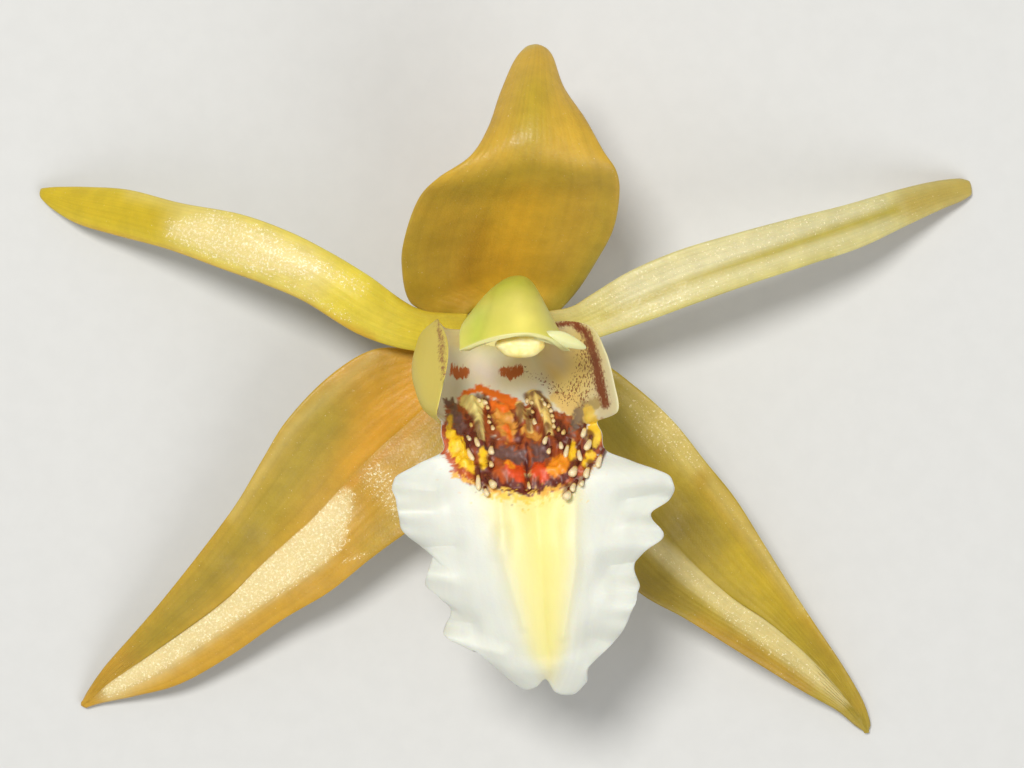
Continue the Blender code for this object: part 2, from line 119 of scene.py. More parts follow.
RIGHT_PETAL = [
    [(2.9, 7.2, 9.9), (3.3, 5.3, 9.7), (3.1, 3.4, 9.7)],
    [(5.8, 7.7, 10.8), (6.2, 5.9, 10.7), (6.6, 4.0, 10.8)],
    [(8.0, 9.0, 11.6), (8.6, 6.8, 11.3), (9.2, 4.8, 11.6)],
    [(11.8, 11.3, 12.4), (12.6, 8.7, 12.0), (13.3, 6.2, 12.4)],
    [(16.6, 13.35, 12.8), (17.5, 10.7, 12.3), (18.5, 8.1, 12.8)],
    [(22.1, 15.0, 12.4), (23.1, 12.5, 11.9), (24.0, 10.05, 12.4)],
    [(28.1, 16.6, 10.8), (29.0, 14.3, 10.3), (29.8, 11.95, 10.8)],
    [(33.3, 17.9, 8.4), (34.2, 15.8, 7.9), (35.0, 13.7, 8.4)],
    [(38.1, 19.3, 5.4), (38.9, 17.6, 4.9), (39.6, 15.9, 5.4)],
    [(41.8, 20.2, 3.0), (42.3, 18.8, 2.7), (42.8, 17.4, 3.0)],
    [(44.6, 20.55, 1.4), (44.8, 19.4, 1.2), (45.0, 18.3, 1.4)],
    [(45.7, 20.3, 0.6), (45.9, 19.6, 0.6), (45.9, 18.9, 0.6)],
]
LEFT_LATERAL_SEPAL = [
    [(-5.0, 3.0, 7.9), (-3.5, 2.0, 7.9), (-2.0, 0.6, 7.9)],
    [(-10.5, 3.6, 8.6), (-7.0, -0.8, 8.2), (-3.6, -5.0, 8.8)],
    [(-14.3, 3.3, 9.2), (-9.6, -3.2, 8.0), (-5.6, -9.6, 9.4)],
    [(-18.5, 0.6, 9.6), (-13.0, -6.2, 7.8), (-8.0, -13.2, 9.6)],
    [(-22.5, -3.6, 9.6), (-16.6, -9.8, 7.2), (-10.9, -15.1, 9.4)],
    [(-25.0, -7.6, 8.8), (-20.3, -13.8, 6.5), (-14.3, -17.6, 8.8)],
    [(-27.6, -12.0, 7.8), (-24.5, -17.6, 5.6), (-18.3, -20.8, 7.8)],
    [(-31.0, -16.6, 6.6), (-28.6, -21.6, 4.6), (-23.0, -23.6, 6.4)],
    [(-34.8, -21.4, 5.2), (-33.0, -24.8, 3.5), (-28.2, -27.2, 4.8)],
    [(-38.0, -25.2, 3.9), (-37.0, -27.6, 2.4), (-33.2, -30.0, 3.4)],
    [(-40.6, -28.2, 2.6), (-40.2, -29.8, 1.6), (-37.6, -31.2, 2.2)],
    [(-42.3, -30.6, 1.4), (-42.0, -31.4, 0.9), (-41.0, -31.9, 1.2)],
    [(-43.05, -31.8, 0.7), (-43.1, -32.15, 0.6), (-42.6, -32.4, 0.7)],
]
RIGHT_LATERAL_SEPAL = [
    [(3.6, 3.0, 7.9), (2.1, 2.0, 7.9), (0.6, 0.6, 7.9)],
    [(8.4, 2.4, 8.6), (5.2, -1.8, 8.2), (2.4, -5.6, 8.8)],
    [(12.4, -0.3, 9.2), (8.4, -5.8, 8.0), (4.2, -10.6, 9.4)],
    [(16.2, -3.8, 9.6), (11.0, -9.2, 7.8), (6.4, -14.6, 9.6)],
    [(19.4, -7.8, 9.6), (13.8, -12.8, 7.2), (9.4, -18.0, 9.4)],
    [(22.3, -11.4, 8.8), (17.4, -17.2, 6.5), (13.2, -21.2, 8.6)],
    [(25.2, -16.0, 7.8), (21.4, -20.9, 5.6), (17.2, -23.4, 7.4)],
    [(28.2, -20.8, 6.4), (25.4, -23.6, 4.4), (21.4, -26.0, 6.0)],
    [(31.2, -25.4, 5.0), (28.8, -26.4, 3.3), (25.6, -28.6, 4.6)],
    [(33.4, -28.8, 3.6), (31.6, -29.2, 2.3), (29.2, -30.8, 3.2)],
    [(35.0, -31.6, 2.2), (33.8, -31.9, 1.5), (32.4, -32.6, 2.0)],
    [(35.7, -33.8, 1.2), (35.2, -34.0, 0.8), (34.4, -34.2, 1.1)],
    [(35.7, -34.8, 0.6), (35.5, -34.9, 0.6), (35.3, -34.8, 0.6)],
]
# The lip's stations hold seven points: margin, wall, edge of the disc, middle, and the same outwards.
LIP = [
    [(-3.8, 5.4, 11.1), (-3.3, 4.4, 11.0), (-2.3, 3.8, 11.0), (-0.7, 3.6, 11.0),
     (0.9, 3.8, 11.0), (1.9, 4.4, 11.0), (2.4, 5.4, 11.1)],
    [(-6.6, 5.6, 16.0), (-6.0, 4.0, 14.4), (-4.2, 3.0, 13.2), (-1.5, 2.6, 12.7),
     (1.4, 3.0, 13.0), (3.2, 4.0, 14.2), (4.0, 5.6, 16.0)],
    [(-7.4, 6.5, 21.5), (-8.6, 4.6, 18.0), (-5.4, 2.0, 15.0), (-1.8, 1.6, 14.4),
     (2.2, 2.0, 14.8), (3.6, 3.6, 17.5), (4.6, 6.3, 21.0)],
    [(-6.5, 4.6, 25.5), (-9.4, 3.4, 20.5), (-6.0, 0.6, 16.8), (-1.8, 0.4, 16.0),
     (2.8, 0.6, 16.6), (5.6, 2.6, 20.0), (7.8, 5.8, 25.0)],
    [(-6.4, 2.6, 27.5), (-9.75, 1.6, 22.5), (-6.2, -0.8, 18.4), (-1.4, -0.8, 17.6),
     (3.6, -0.8, 18.2), (6.8, 1.0, 22.0), (9.4, 3.2, 27.5)],
    [(-6.8, 0.2, 28.5), (-9.5, -0.2, 24.0), (-6.0, -2.2, 20.0), (-0.6, -2.2, 19.2),
     (4.4, -2.2, 19.8), (7.8, -1.0, 23.5), (10.2, 0.2, 28.5)],
    [(-7.5, -2.9, 28.5), (-8.6, -2.4, 25.0), (-5.6, -3.6, 21.4), (0.2, -3.8, 20.8),
     (5.2, -3.6, 21.4), (8.4, -2.8, 24.5), (10.6, -2.7, 28.5)],
    [(-7.1, -3.8, 24.0), (-6.7, -4.0, 23.2), (-4.8, -4.6, 22.2), (0.5, -5.0, 21.8),
     (5.2, -4.6, 22.4), (7.4, -4.0, 23.2), (8.6, -3.6, 24.0)],
    [(-7.1, -5.0, 24.2), (-6.2, -5.4, 23.8), (-4.4, -5.9, 23.4), (0.9, -6.5, 23.0),
     (5.5, -5.9, 23.6), (7.7, -5.4, 24.0), (9.0, -4.9, 24.2)],
    [(-6.95, -6.7, 24.6), (-5.6, -7.2, 24.6), (-3.9, -7.8, 24.6), (1.3, -8.4, 24.4),
     (5.6, -7.8, 24.8), (7.6, -7.2, 24.9), (9.4, -6.6, 24.6)],
    [(-9.4, -8.0, 24.8), (-7.0, -8.8, 25.2), (-3.6, -9.6, 25.6), (1.5, -10.2, 25.6),
     (5.9, -9.6, 25.8), (9.6, -8.6, 25.6), (12.0, -7.7, 24.8)],
    [(-11.7, -9.6, 24.2), (-7.6, -10.8, 25.2), (-3.4, -11.6, 26.2), (1.7, -12.2, 26.4),
     (5.9, -11.6, 26.4), (11.2, -10.0, 25.6), (15.6, -9.2, 24.4)],
    [(-11.6, -12.0, 24.6), (-7.4, -13.2, 25.4), (-3.1, -14.0, 26.4), (1.9, -14.4, 26.8),
     (5.9, -14.0, 26.6), (11.0, -12.4, 25.2), (15.9, -11.4, 23.6)],
    [(-11.1, -14.2, 24.8), (-7.2, -15.6, 25.6), (-2.8, -16.4, 26.6), (2.1, -16.8, 27.0),
     (5.9, -16.4, 26.8), (10.2, -15.0, 25.6), (14.0, -13.0, 24.4)],
    [(-9.8, -15.6, 24.2), (-6.6, -17.4, 25.2), (-2.5, -18.6, 26.4), (2.3, -19.0, 26.9),
     (5.9, -18.6, 26.6), (10.2, -17.0, 25.2), (15.0, -15.4, 24.0)],
    [(-7.9, -17.2, 24.4), (-5.6, -19.4, 25.0), (-2.2, -20.8, 26.0), (2.5, -21.2, 26.5),
     (5.9, -20.8, 26.2), (9.2, -19.2, 25.0), (12.2, -17.8, 24.2)],
    [(-8.7, -20.0, 23.4), (-5.4, -21.6, 24.4), (-1.8, -22.8, 25.4), (2.7, -23.2, 25.9),
     (5.8, -22.8, 25.6), (9.0, -21.4, 24.6), (12.8, -20.2, 23.4)],
    [(-6.2, -22.4, 23.6), (-4.0, -23.6, 24.2), (-1.2, -24.8, 24.8), (2.9, -25.2, 25.2),
     (5.7, -24.8, 25.0), (8.4, -23.6, 24.2), (11.8, -23.2, 23.4)],
    [(-6.7, -25.2, 22.4), (-3.8, -25.8, 23.2), (-0.8, -26.6, 24.0), (3.1, -27.0, 24.4),
     (5.6, -26.6, 24.2), (7.8, -26.0, 23.4), (10.2, -25.8, 22.6)],
    [(-3.6, -26.6, 22.6), (-2.0, -27.6, 22.8), (0.2, -28.4, 23.2), (3.3, -28.4, 23.6),
     (5.5, -28.2, 23.4), (7.2, -27.8, 22.8), (8.2, -27.6, 22.2)],
    [(-0.2, -29.4, 21.0), (1.2, -30.5, 20.8), (2.4, -30.3, 21.4), (3.4, -29.5, 22.2),
     (4.4, -30.9, 21.4), (6.2, -31.0, 20.8), (7.4, -29.8, 20.8)],
]

# The column's stations: centre, half width, height of its back, depth of its front, and flare of its wings.
COLUMN = [
    ((-0.7, 6.4, 11.5), 2.0, 1.8, 1.8, 1.0),
    ((-0.5, 7.2, 14.8), 2.1, 1.9, 1.8, 1.0),
    ((-0.1, 8.2, 18.5), 2.1, 2.0, 1.6, 1.0),
    ((0.2, 8.6, 22.4), 2.2, 2.1, 1.3, 1.0),
    ((0.1, 7.7, 25.8), 3.4, 2.4, 0.4, 1.5),
    ((0.2, 5.7, 28.6), 4.65, 2.5, -0.8, 1.9),
    ((0.9, 3.3, 30.6), 5.3, 2.3, -1.9, 2.0),
]
# Each wing's share of the half width, and how far the hood is moved to the right.
LEFT_WING = 1.14
RIGHT_WING = 0.74
HOOD_SHIFT = 0.5
HOOD_THINNING = 0.45
# The flap at the hood's right end, in the order of a sepal's stations.
WING_FLAP = [
    [(3.5, 5.3, 31.2), (2.8, 5.0, 31.3), (2.1, 4.6, 31.1)],
    [(4.9, 5.3, 31.2), (4.2, 4.7, 31.4), (3.5, 4.1, 31.1)],
    [(5.9, 4.9, 30.9), (5.5, 4.3, 31.1), (5.1, 3.7, 30.8)],
    [(6.9, 4.2, 30.4), (6.8, 3.9, 30.5), (6.6, 3.5, 30.3)],
    [(7.35, 3.7, 29.9), (7.35, 3.6, 29.9), (7.3, 3.5, 29.9)],
]
ANTHER_MIDDLE = (0.85, 3.85, 29.8)
ANTHER_SIZE = (2.2, 0.9, 1.1)
# Swellings and one dent of the anther cap, as direction, height and width.
ANTHER_BUMPS = [
    ((0.55, 0.8, 0.5), 0.28, 0.16),
    ((-0.6, 0.3, 0.5), 0.10, 0.25),
    ((0, -1, 0.2), 0.25, 0.25),
    ((0.0, 0.2, 1.0), -0.12, 0.06),
]

# The ovary and its stalk, as centres with a radius, down from under the hub and along the table.
STALK = [
    ((-0.7, 4.8, 10.6), 3.3),
    ((-0.7, 4.8, 9.8), 3.6),
    ((-0.7, 4.8, 8.0), 3.5),
    ((-0.7, 4.3, 6.0), 3.0),
    ((-0.6, 2.6, 4.0), 2.7),
    ((-0.4, -0.8, 2.9), 2.5),
    ((0.0, -6.0, 2.5), 2.3),
    ((0.6, -12.0, 2.1), 1.9),
    ((1.4, -19.0, 1.75), 1.6),
    ((2.3, -26.8, 1.75), 1.6),
]

# A mark on a sepal or petal lies on the side of its first margin, of its last one, or on both.
BOTH, FIRST, LAST = 0, 1, 2

# Colours of the living flower as seen in neutral light, and of the table, in 8-bit display values.
# Some of them are painted light: painted sheen, painted glints, a painted glow and painted shade.
OCHRE = (192, 148, 38)
DEEP_OCHRE = (176, 124, 26)
DULL_OCHRE = (184, 156, 44)
WARM_OCHRE = (222, 172, 54)
ORANGE_GLOW = (226, 160, 26)
BRIGHT_GLOW = (254, 190, 52)
BURNT = (204, 138, 26)
OLIVE = (168, 144, 34)
DARK_OLIVE_AND_PAINTED_SHADE = (132, 110, 30)
PAINTED_SHADE_OLIVE = (118, 98, 24)
GREEN_OLIVE = (150, 146, 62)
YELLOW = (214, 194, 48)
BRIGHT_YELLOW = (196, 168, 14)
SEPAL_YELLOW = (206, 174, 20)
PETAL_YELLOW = (224, 204, 66)
PALE_STRAW_AND_PAINTED_SHEEN = (214, 196, 118)
PAINTED_SHEEN_CREAM = (238, 222, 150)
PAINTED_SHEEN_WHITE = (244, 230, 172)
PETAL_CREAM = (240, 226, 164)
PAINTED_PETAL_SHEEN = (250, 240, 204)
PAINTED_SHEEN_SILVER = (224, 208, 150)
PAINTED_SHEEN_PATCH = (234, 216, 160)
GLINT = (250, 240, 200)
HOOD_YELLOW = (214, 206, 88)
HOOD_GREEN = (188, 198, 66)
HOOD_CENTRE = (236, 224, 112)
HOOD_SHADE = (176, 172, 58)
HOOD_INSIDE = (238, 228, 160)
HOOD_MARGIN = (214, 208, 140)
FLAP_PALE = (226, 222, 158)
ANTHER_YELLOW = (244, 222, 128)
ANTHER_CREAM = (253, 242, 176)
POLLEN_ORANGE = (222, 160, 30)
POLLEN_YELLOW = (244, 204, 82)
STALK_GREEN = (120, 136, 46)
STALK_PALE_GREEN = (168, 172, 80)
CUT_FLESH = (206, 206, 140)
LIP_GROUND = (218, 220, 209)
LIP_CREAM = (240, 232, 205)
LIP_YELLOW = (236, 220, 122)
LIP_PALE_YELLOW = (232, 224, 156)
LIP_YELLOW_WASH = (226, 222, 184)
LOBE_TAN = (226, 204, 122)
LOBE_OLIVE = (203, 184, 82)
LOBE_RUST = (128, 62, 34)
SPECK_BROWN = (128, 62, 26)
COMB_BROWN = (186, 98, 50)
THROAT_YELLOW = (224, 214, 140)
PINK_WHITE = (240, 228, 220)
CREST_TAN = (226, 196, 122)
CREST_BROWN = (158, 74, 28)
CREST_DARK = (104, 36, 20)
CREST_GOLD = (214, 150, 62)
CREST_ORANGE = (230, 112, 22)
LEFT_KEEL_CREAM = (226, 210, 132)
RIGHT_KEEL_CREAM = (238, 208, 124)
MAROON_AND_PAINTED_SHEEN = (112, 78, 72)
SHOULDER_PAINTED_SHADE = (118, 98, 86)
CREST_YELLOW = (246, 196, 26)
EDGE_YELLOW = (232, 190, 40)
CREST_RUST = (186, 84, 26)
FRONT_RED = (214, 72, 8)
FRONT_ORANGE = (244, 148, 20)
GROOVE_DARK = (84, 22, 16)
FRONT_YELLOW = (246, 204, 84)
FRONT_AMBER = (234, 176, 70)
WART_FOOT = (96, 36, 20)
WART_TAN = (214, 176, 96)
WART_CREAM = (234, 212, 168)
FLOOR_GREY = (207, 207, 204)
FLOOR_PALE_GREY = (209, 209, 206)


def linear(colour):
    """An 8-bit display colour as linear light."""
    share = np.asarray(colour, float) / 255
    return np.where(share <= 0.04045, share / 12.92, ((share + 0.055) / 1.055) ** 2.4)


def place(points):
    """Row positions in metres of drawn points, slid along their sight lines to their heights."""
    points = np.asarray(points, float)
    nearer = 1.0 - points[..., 2:] / EYE_HEIGHT
    flat = points[..., :2] * nearer - BOX_MIDDLE
    return np.concatenate([flat, points[..., 2:] - LOWEST], axis=-1) * MM


def seen(places):
    """Drawn points of row positions in metres."""
    places = np.asarray(places, float) / MM
    height = places[..., 2:] + LOWEST
    return np.concatenate([(places[..., :2] + BOX_MIDDLE) / (1.0 - height / EYE_HEIGHT), height], axis=-1)


def curve_through(points, count):
    """count points on a smooth curve through the given ones, with Catmull-Rom tangents."""
    given = np.asarray(points, float)
    last = len(given) - 1
    at = np.linspace(0, last, count)
    before = np.minimum(at.astype(int), last - 1)
    share = (at - before)[:, None]
    slope = np.gradient(given, axis=0)
    start, end = given[before], given[before + 1]
    bend_in, bend_out = slope[before], slope[before + 1]
    square, cube = share**2, share**3
    return (
        start * (2 * cube - 3 * square + 1)
        + bend_in * (cube - 2 * square + share)
        + end * (3 * square - 2 * cube)
        + bend_out * (cube - square)
    )


def smooth_step(low, high, value):
    """0 below low and 1 above high, or the other way round, with a smooth change between."""
    share = np.clip((value - low) / (high - low), 0, 1)
    return share * share * (3 - 2 * share)


def lattice_noise(points, scale, seed):
    """Smooth noise from 0 to 1 at 2-D points, with features about scale wide."""
    table = np.random.default_rng(seed).random((256, 256))
    at = np.asarray(points) / scale
    cell = np.floor(at).astype(int)
    share = at - cell
    share = share * share * (3 - 2 * share)
    col, row = cell[..., 0] % 256, cell[..., 1] % 256
    next_col, next_row = (col + 1) % 256, (row + 1) % 256
    low = table[col, row] * (1 - share[..., 0]) + table[next_col, row] * share[..., 0]
    high = table[col, next_row] * (1 - share[..., 0]) + table[next_col, next_row] * share[..., 0]
    return low * (1 - share[..., 1]) + high * share[..., 1]


def stroke(points, path, soft):
    """1 on a drawn path, 0 beyond its width. The path's points are (across, up, half width)."""
    best = np.full(points.shape[:-1], -1e9)
    path = np.asarray(path, float)
    if len(path) == 1:
        path = np.concatenate([path, path])
    for start, end in zip(path[:-1], path[1:]):
        along = end[:2] - start[:2]
        length = max(float(along @ along), 1e-9)
        share = np.clip(((points[..., :2] - start[:2]) @ along) / length, 0, 1)
        nearest = start[:2] + share[..., None] * along
        gap = np.linalg.norm(points[..., :2] - nearest, axis=-1)
        best = np.maximum(best, start[2] + share * (end[2] - start[2]) - gap)
    return smooth_step(-soft, soft, best)


def sheet_normals(grid):
    """Unit normals of a grid of row positions, on the side that faces the eye."""
    down, over = np.gradient(grid, axis=0), np.gradient(grid, axis=1)
    normal = -np.cross(over, down)
    return normal / np.linalg.norm(normal, axis=2, keepdims=True)


def grid_faces(rows, columns, start=0, flip=False):
    """Quads of a grid whose vertices are numbered row by row."""
    row, column = np.meshgrid(np.arange(rows - 1), np.arange(columns - 1), indexing="ij")
    low = start + row * columns + column
    quads = np.stack([low, low + 1, low + columns + 1, low + columns], axis=-1).reshape(-1, 4)
    return quads[:, ::-1] if flip else quads


def ring_faces(rings, around, first=0):
    """Quads between closed rings whose vertices are numbered ring by ring."""
    faces = []
    for ring in range(rings - 1):
        for corner in range(around):
            low = first + ring * around + corner
            after = first + ring * around + (corner + 1) % around
            faces.append([low, after, after + around, low + around])
    return faces


def tube_faces(rings, around, first=0):
    """The faces of a closed tube. Its two end caps come last."""
    last = first + (rings - 1) * around
    start_cap = [first + corner for corner in reversed(range(around))]
    end_cap = [last + corner for corner in range(around)]
    return ring_faces(rings, around, first) + [start_cap, end_cap]


def add_mesh(name, vertices, faces, nodes):
    """A smooth piece from vertices in metres, that stands for the named CAD nodes."""
    name += "_flesh"
    mesh = bpy.data.meshes.new(name)
    mesh.from_pydata(np.asarray(vertices).tolist(), [], [list(map(int, face)) for face in faces])
    mesh.update()
    mesh.shade_smooth()
    piece = bpy.data.objects.new(name, mesh)
    bpy.context.scene.collection.objects.link(piece)
    if nodes:
        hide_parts(*nodes)
    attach(piece, "root")
    return piece


def set_values(piece, name, values):
    """A number for each vertex, for the material to read."""
    layer = piece.data.attributes.new(name, "FLOAT", "POINT")
    layer.data.foreach_set("value", np.asarray(values, np.float32).ravel())


def set_colours(piece, name, colours):
    """A linear colour for each vertex, for the material to read."""
    colours = np.asarray(colours, np.float32).reshape(-1, 3)
    rgba = np.concatenate([colours, np.ones((len(colours), 1), np.float32)], axis=1)
    layer = piece.data.attributes.new(name, "FLOAT_COLOR", "POINT")
    layer.data.foreach_set("color", rgba.ravel())


def paint_sheet(piece, front, back):
    """Colours for the front and the back of a sheet."""
    set_colours(piece, "paint", np.concatenate([front.reshape(-1, 3), back.reshape(-1, 3)]))


def set_uv(piece, across, along):
    """A UV map from places across and along the piece."""
    uv = np.stack([across, along], axis=-1).reshape(-1, 2)
    loops = np.empty(len(piece.data.loops), np.int32)
    piece.data.loops.foreach_get("vertex_index", loops)
    layer = piece.data.uv_layers.new(name="growth")
    layer.data.foreach_set("uv", uv[loops].astype(np.float32).ravel())


def rounding(share, power):
    """1 over most of a sheet, and down to 0 where the share reaches 1 at a margin or an end."""
    return np.sqrt(np.clip(1 - share**power, 0, 1))


def add_sheet(name, drawn, thick, nodes, raised=None):
    """A closed thin solid around a drawn grid, with rounded margins."""
    rows, columns = drawn.shape[:2]
    grid = place(drawn)
    normal = sheet_normals(grid)
    across = np.linspace(-1, 1, columns)[None, :, None]
    along = np.linspace(0, 1, rows)[:, None, None]
    side_round = rounding(np.abs(across), SIDE_POWER) * (1 - MARGIN_THINNING * np.abs(across) ** 3)
    end_round = rounding(along, END_POWER) * rounding(1 - along, END_POWER)
    half = np.maximum(side_round * end_round, THINNEST_SHARE) * thick * MM / 2
    lift = np.zeros((rows, columns, 1)) if raised is None else raised[..., None] * MM
    front = grid + normal * (half + lift)
    back = grid - normal * half
    size = rows * columns
    vertices = np.concatenate([front.reshape(-1, 3), back.reshape(-1, 3)])
    quads = [grid_faces(rows, columns, 0, True), grid_faces(rows, columns, size, False)]
    number = np.arange(size).reshape(rows, columns)
    border = np.concatenate([number[0], number[1:, -1], number[-1, -2::-1], number[-2:0:-1, 0]])
    after = np.roll(border, -1)
    quads.append(np.stack([border, after, size + after, size + border], axis=-1))
    piece = add_mesh(name, vertices, np.concatenate(quads), nodes)
    across_all = np.broadcast_to(across[..., 0], (rows, columns))
    along_all = np.broadcast_to(along[..., 0], (rows, columns))
    set_uv(piece, np.tile(across_all.ravel(), 2), np.tile(along_all.ravel(), 2))
    return piece


def blade_grid(stations, rows, half_columns, crease):
    """Drawn grid of a sepal or petal between its margins and its midrib."""
    first, middle, last = (curve_through([s[i] for s in stations], rows) for i in range(3))
    across = np.linspace(-1, 1, 2 * half_columns + 1)[None, :, None]
    bowl = ((first + last) / 2 - middle)[:, None, :]
    spread = ((last - first) / 2)[:, None, :]
    return middle[:, None, :] + across * spread + np.abs(across) ** crease * bowl


def blade_relief(drawn, veins, folded, seed):
    """Small heights on a sepal or petal: fine veins, a groove along the midrib and slow waves."""
    rows, columns = drawn.shape[:2]
    across = np.linspace(-1, 1, columns)[None, :]
    along = np.linspace(0, 1, rows)[:, None]
    wander = 0.06 * np.sin(7 * along + 3 * across)
    ridge = VEIN_HEIGHT * np.cos(2 * math.pi * veins * (across + wander * (1 - np.abs(across))))
    groove = -GROOVE_DEPTH * folded * np.exp(-((across / GROOVE_WIDTH) ** 2))
    groove = groove * smooth_step(0.0, 0.1, along) * smooth_step(0.9, 0.6, along)
    slow = WAVE_HEIGHT * (lattice_noise(drawn[..., :2], 3.0, seed) - 0.5)
    fine = FINE_HEIGHT * (lattice_noise(drawn[..., :2], 0.9, seed + 1) - 0.5)
    wide = smooth_step(1.0, 0.7, along) * smooth_step(0.0, 0.15, along)
    return groove + wide * (ridge + slow * (1 - np.abs(across) ** 6) + fine)


def on_side(columns, side):
    """1 on the side of the midrib where a mark lies: the first margin's, the last one's, or both."""
    across = np.linspace(-1, 1, columns)[None, :]
    if side == FIRST:
        return smooth_step(0.02, -0.02, across)
    if side == LAST:
        return smooth_step(-0.02, 0.02, across)
    return np.ones_like(across)


def covered(colours, colour, share):
    """Linear colours under a display colour that covers its share of each."""
    share = share[..., None]
    return colours * (1 - share) + linear(colour) * share


def painted(points, ground, strokes):
    """Linear colours at drawn points: a ground colour with soft strokes over it, in order."""
    colours = np.broadcast_to(linear(ground), points.shape[:-1] + (3,)).copy()
    for colour, strength, soft, side, path in strokes:
        share = strength * stroke(points, path, soft) * on_side(points.shape[1], side)
        colours = covered(colours, colour, share)
    return colours


def add_blade(name, stations, thick, crease, veins, look, seed, size):
    """A sepal or petal with its painted colour and its patches of painted sheen."""
    rows, half_columns = size
    drawn = blade_grid(stations, rows, half_columns, crease)
    drawn[..., 2] += blade_relief(drawn, veins, crease < FOLD_LIMIT, seed)
    piece = add_sheet(name, drawn, thick, [name])
    colours = painted(drawn, look["ground"], look["strokes"])
    paint_sheet(piece, colours, colours * 0.5 + linear(look["back"]) * 0.5)
    sheen = np.zeros(drawn.shape[:2])
    for strength, soft, side, path in look["sheen"]:
        sheen = np.maximum(sheen, strength * stroke(drawn, path, soft) * on_side(drawn.shape[1], side))
    set_values(piece, "sheen", np.concatenate([sheen.ravel(), 0.25 * sheen.ravel()]))
    piece.data.materials.append(tepal_material(name + "_skin"))


# Strokes are (colour, strength, softness, side, path), and a path's points are (across, up, half width).
# Patches of sheen are the same without a colour.
DORSAL_LOOK = {
    "ground": WARM_OCHRE,
    "back": OLIVE,
    "strokes": [
        (DULL_OCHRE, 0.7, 2.5, BOTH, [(-10, 9, 1.5), (-10.5, 13, 1.6), (-9.6, 16, 1.0)]),
        (DULL_OCHRE, 0.8, 2.2, BOTH, [(5.5, 9, 1.4), (8.0, 12.5, 1.8), (9.4, 16, 1.4), (9.5, 19, 0.8)]),
        (GREEN_OLIVE, 0.85, 1.2, BOTH, [(4.6, 7.2, 1.4), (7.4, 10.6, 0.7), (9.0, 13.4, 0.3)]),
        (GREEN_OLIVE, 0.7, 1.2, BOTH, [(-6.4, 7.2, 0.5), (-3.0, 7.6, 0.8), (2.0, 8.0, 0.6)]),
        # Painted glow: the lower middle of the sepal is made bright orange as if lit through its flesh.
        (BRIGHT_GLOW, 1.0, 2.6, BOTH, [(-2.2, 9.4, 1.8), (-0.6, 14, 2.6), (1.0, 18.0, 1.6)]),
        (BURNT, 0.7, 1.4, FIRST, [(-5.4, 8.5, 1.4), (-4.4, 12, 1.2), (-2.8, 16, 0.6)]),
        (OCHRE, 0.7, 1.5, BOTH, [(-7.5, 9, 1.2), (-7.8, 14, 1.2)]),
        # Painted shade: a dark band across the sepal where it arches forward and turns away from the light.
        (DARK_OLIVE_AND_PAINTED_SHADE, 0.7, 1.7, BOTH, [(-8.6, 18.6, 0.3), (-4.0, 20.2, 0.9), (1.5, 21.8, 1.0),
                                      (9.5, 20.8, 0.8)]),
        (OLIVE, 0.75, 2.4, BOTH, [(1.6, 24.5, 1.0), (2.2, 29.5, 0.8)]),
        (BRIGHT_YELLOW, 0.7, 1.8, BOTH, [(1.8, 25.5, 0.8), (2.2, 29.0, 0.6)]),
        (DEEP_OCHRE, 0.5, 1.4, BOTH, [(-2.4, 25, 0.6), (-0.6, 30, 0.4)]),
        (DEEP_OCHRE, 0.5, 1.4, BOTH, [(7.4, 26, 0.6), (5.0, 30, 0.4)]),
        (PALE_STRAW_AND_PAINTED_SHEEN, 0.7, 0.3, BOTH, [(0.9, 33.2, 0.15), (2.2, 33.7, 0.3)]),
    ],
    "sheen": [
        (0.22, 2.0, BOTH, [(2.5, 31.5, 1.5), (3.6, 28.0, 1.0)]),
        (0.12, 2.0, BOTH, [(1.0, 15.0, 2.0), (5.0, 12.0, 1.0)]),
    ],
}
LEFT_PETAL_LOOK = {
    "ground": PETAL_YELLOW,
    "back": GREEN_OLIVE,
    "strokes": [
        (BRIGHT_YELLOW, 0.9, 2.0, BOTH, [(-47, 19, 2.0), (-40, 17.5, 2.4), (-35, 16.2, 2.2)]),
        # Painted sheen: a pale band across the middle of the petal, standing in for light reflected by the
        # skin.
        (PALE_STRAW_AND_PAINTED_SHEEN, 0.75, 2.2, BOTH, [(-32, 15.6, 2.0), (-26, 13.5, 2.4), (-20, 10.8, 2.0)]),
        (BURNT, 0.6, 0.7, BOTH, [(-44, 16.0, 0.3), (-33, 12.9, 0.4), (-22, 8.6, 0.4), (-14, 4.6, 0.4)]),
        (PALE_STRAW_AND_PAINTED_SHEEN, 0.5, 1.0, BOTH, [(-38, 19.0, 0.4), (-28, 16.5, 0.6), (-20, 13.2, 0.5)]),
        (YELLOW, 0.8, 2.0, BOTH, [(-16, 8.6, 1.4), (-8, 5.6, 1.6)]),
        (OLIVE, 0.6, 1.2, BOTH, [(-11, 8.6, 0.5), (-7.5, 7.0, 0.6), (-5.0, 7.0, 1.0)]),
    ],
    "sheen": [
        (0.95, 1.4, BOTH, [(-33.5, 15.4, 0.6), (-30, 15.0, 1.8), (-25, 13.2, 1.8), (-20, 11.6, 0.8)]),
        (0.5, 1.4, FIRST, [(-22, 13.0, 0.8), (-15, 9.6, 0.6)]),
        (0.4, 1.2, LAST, [(-24, 11.0, 0.5), (-16, 6.6, 0.5)]),
    ],
}
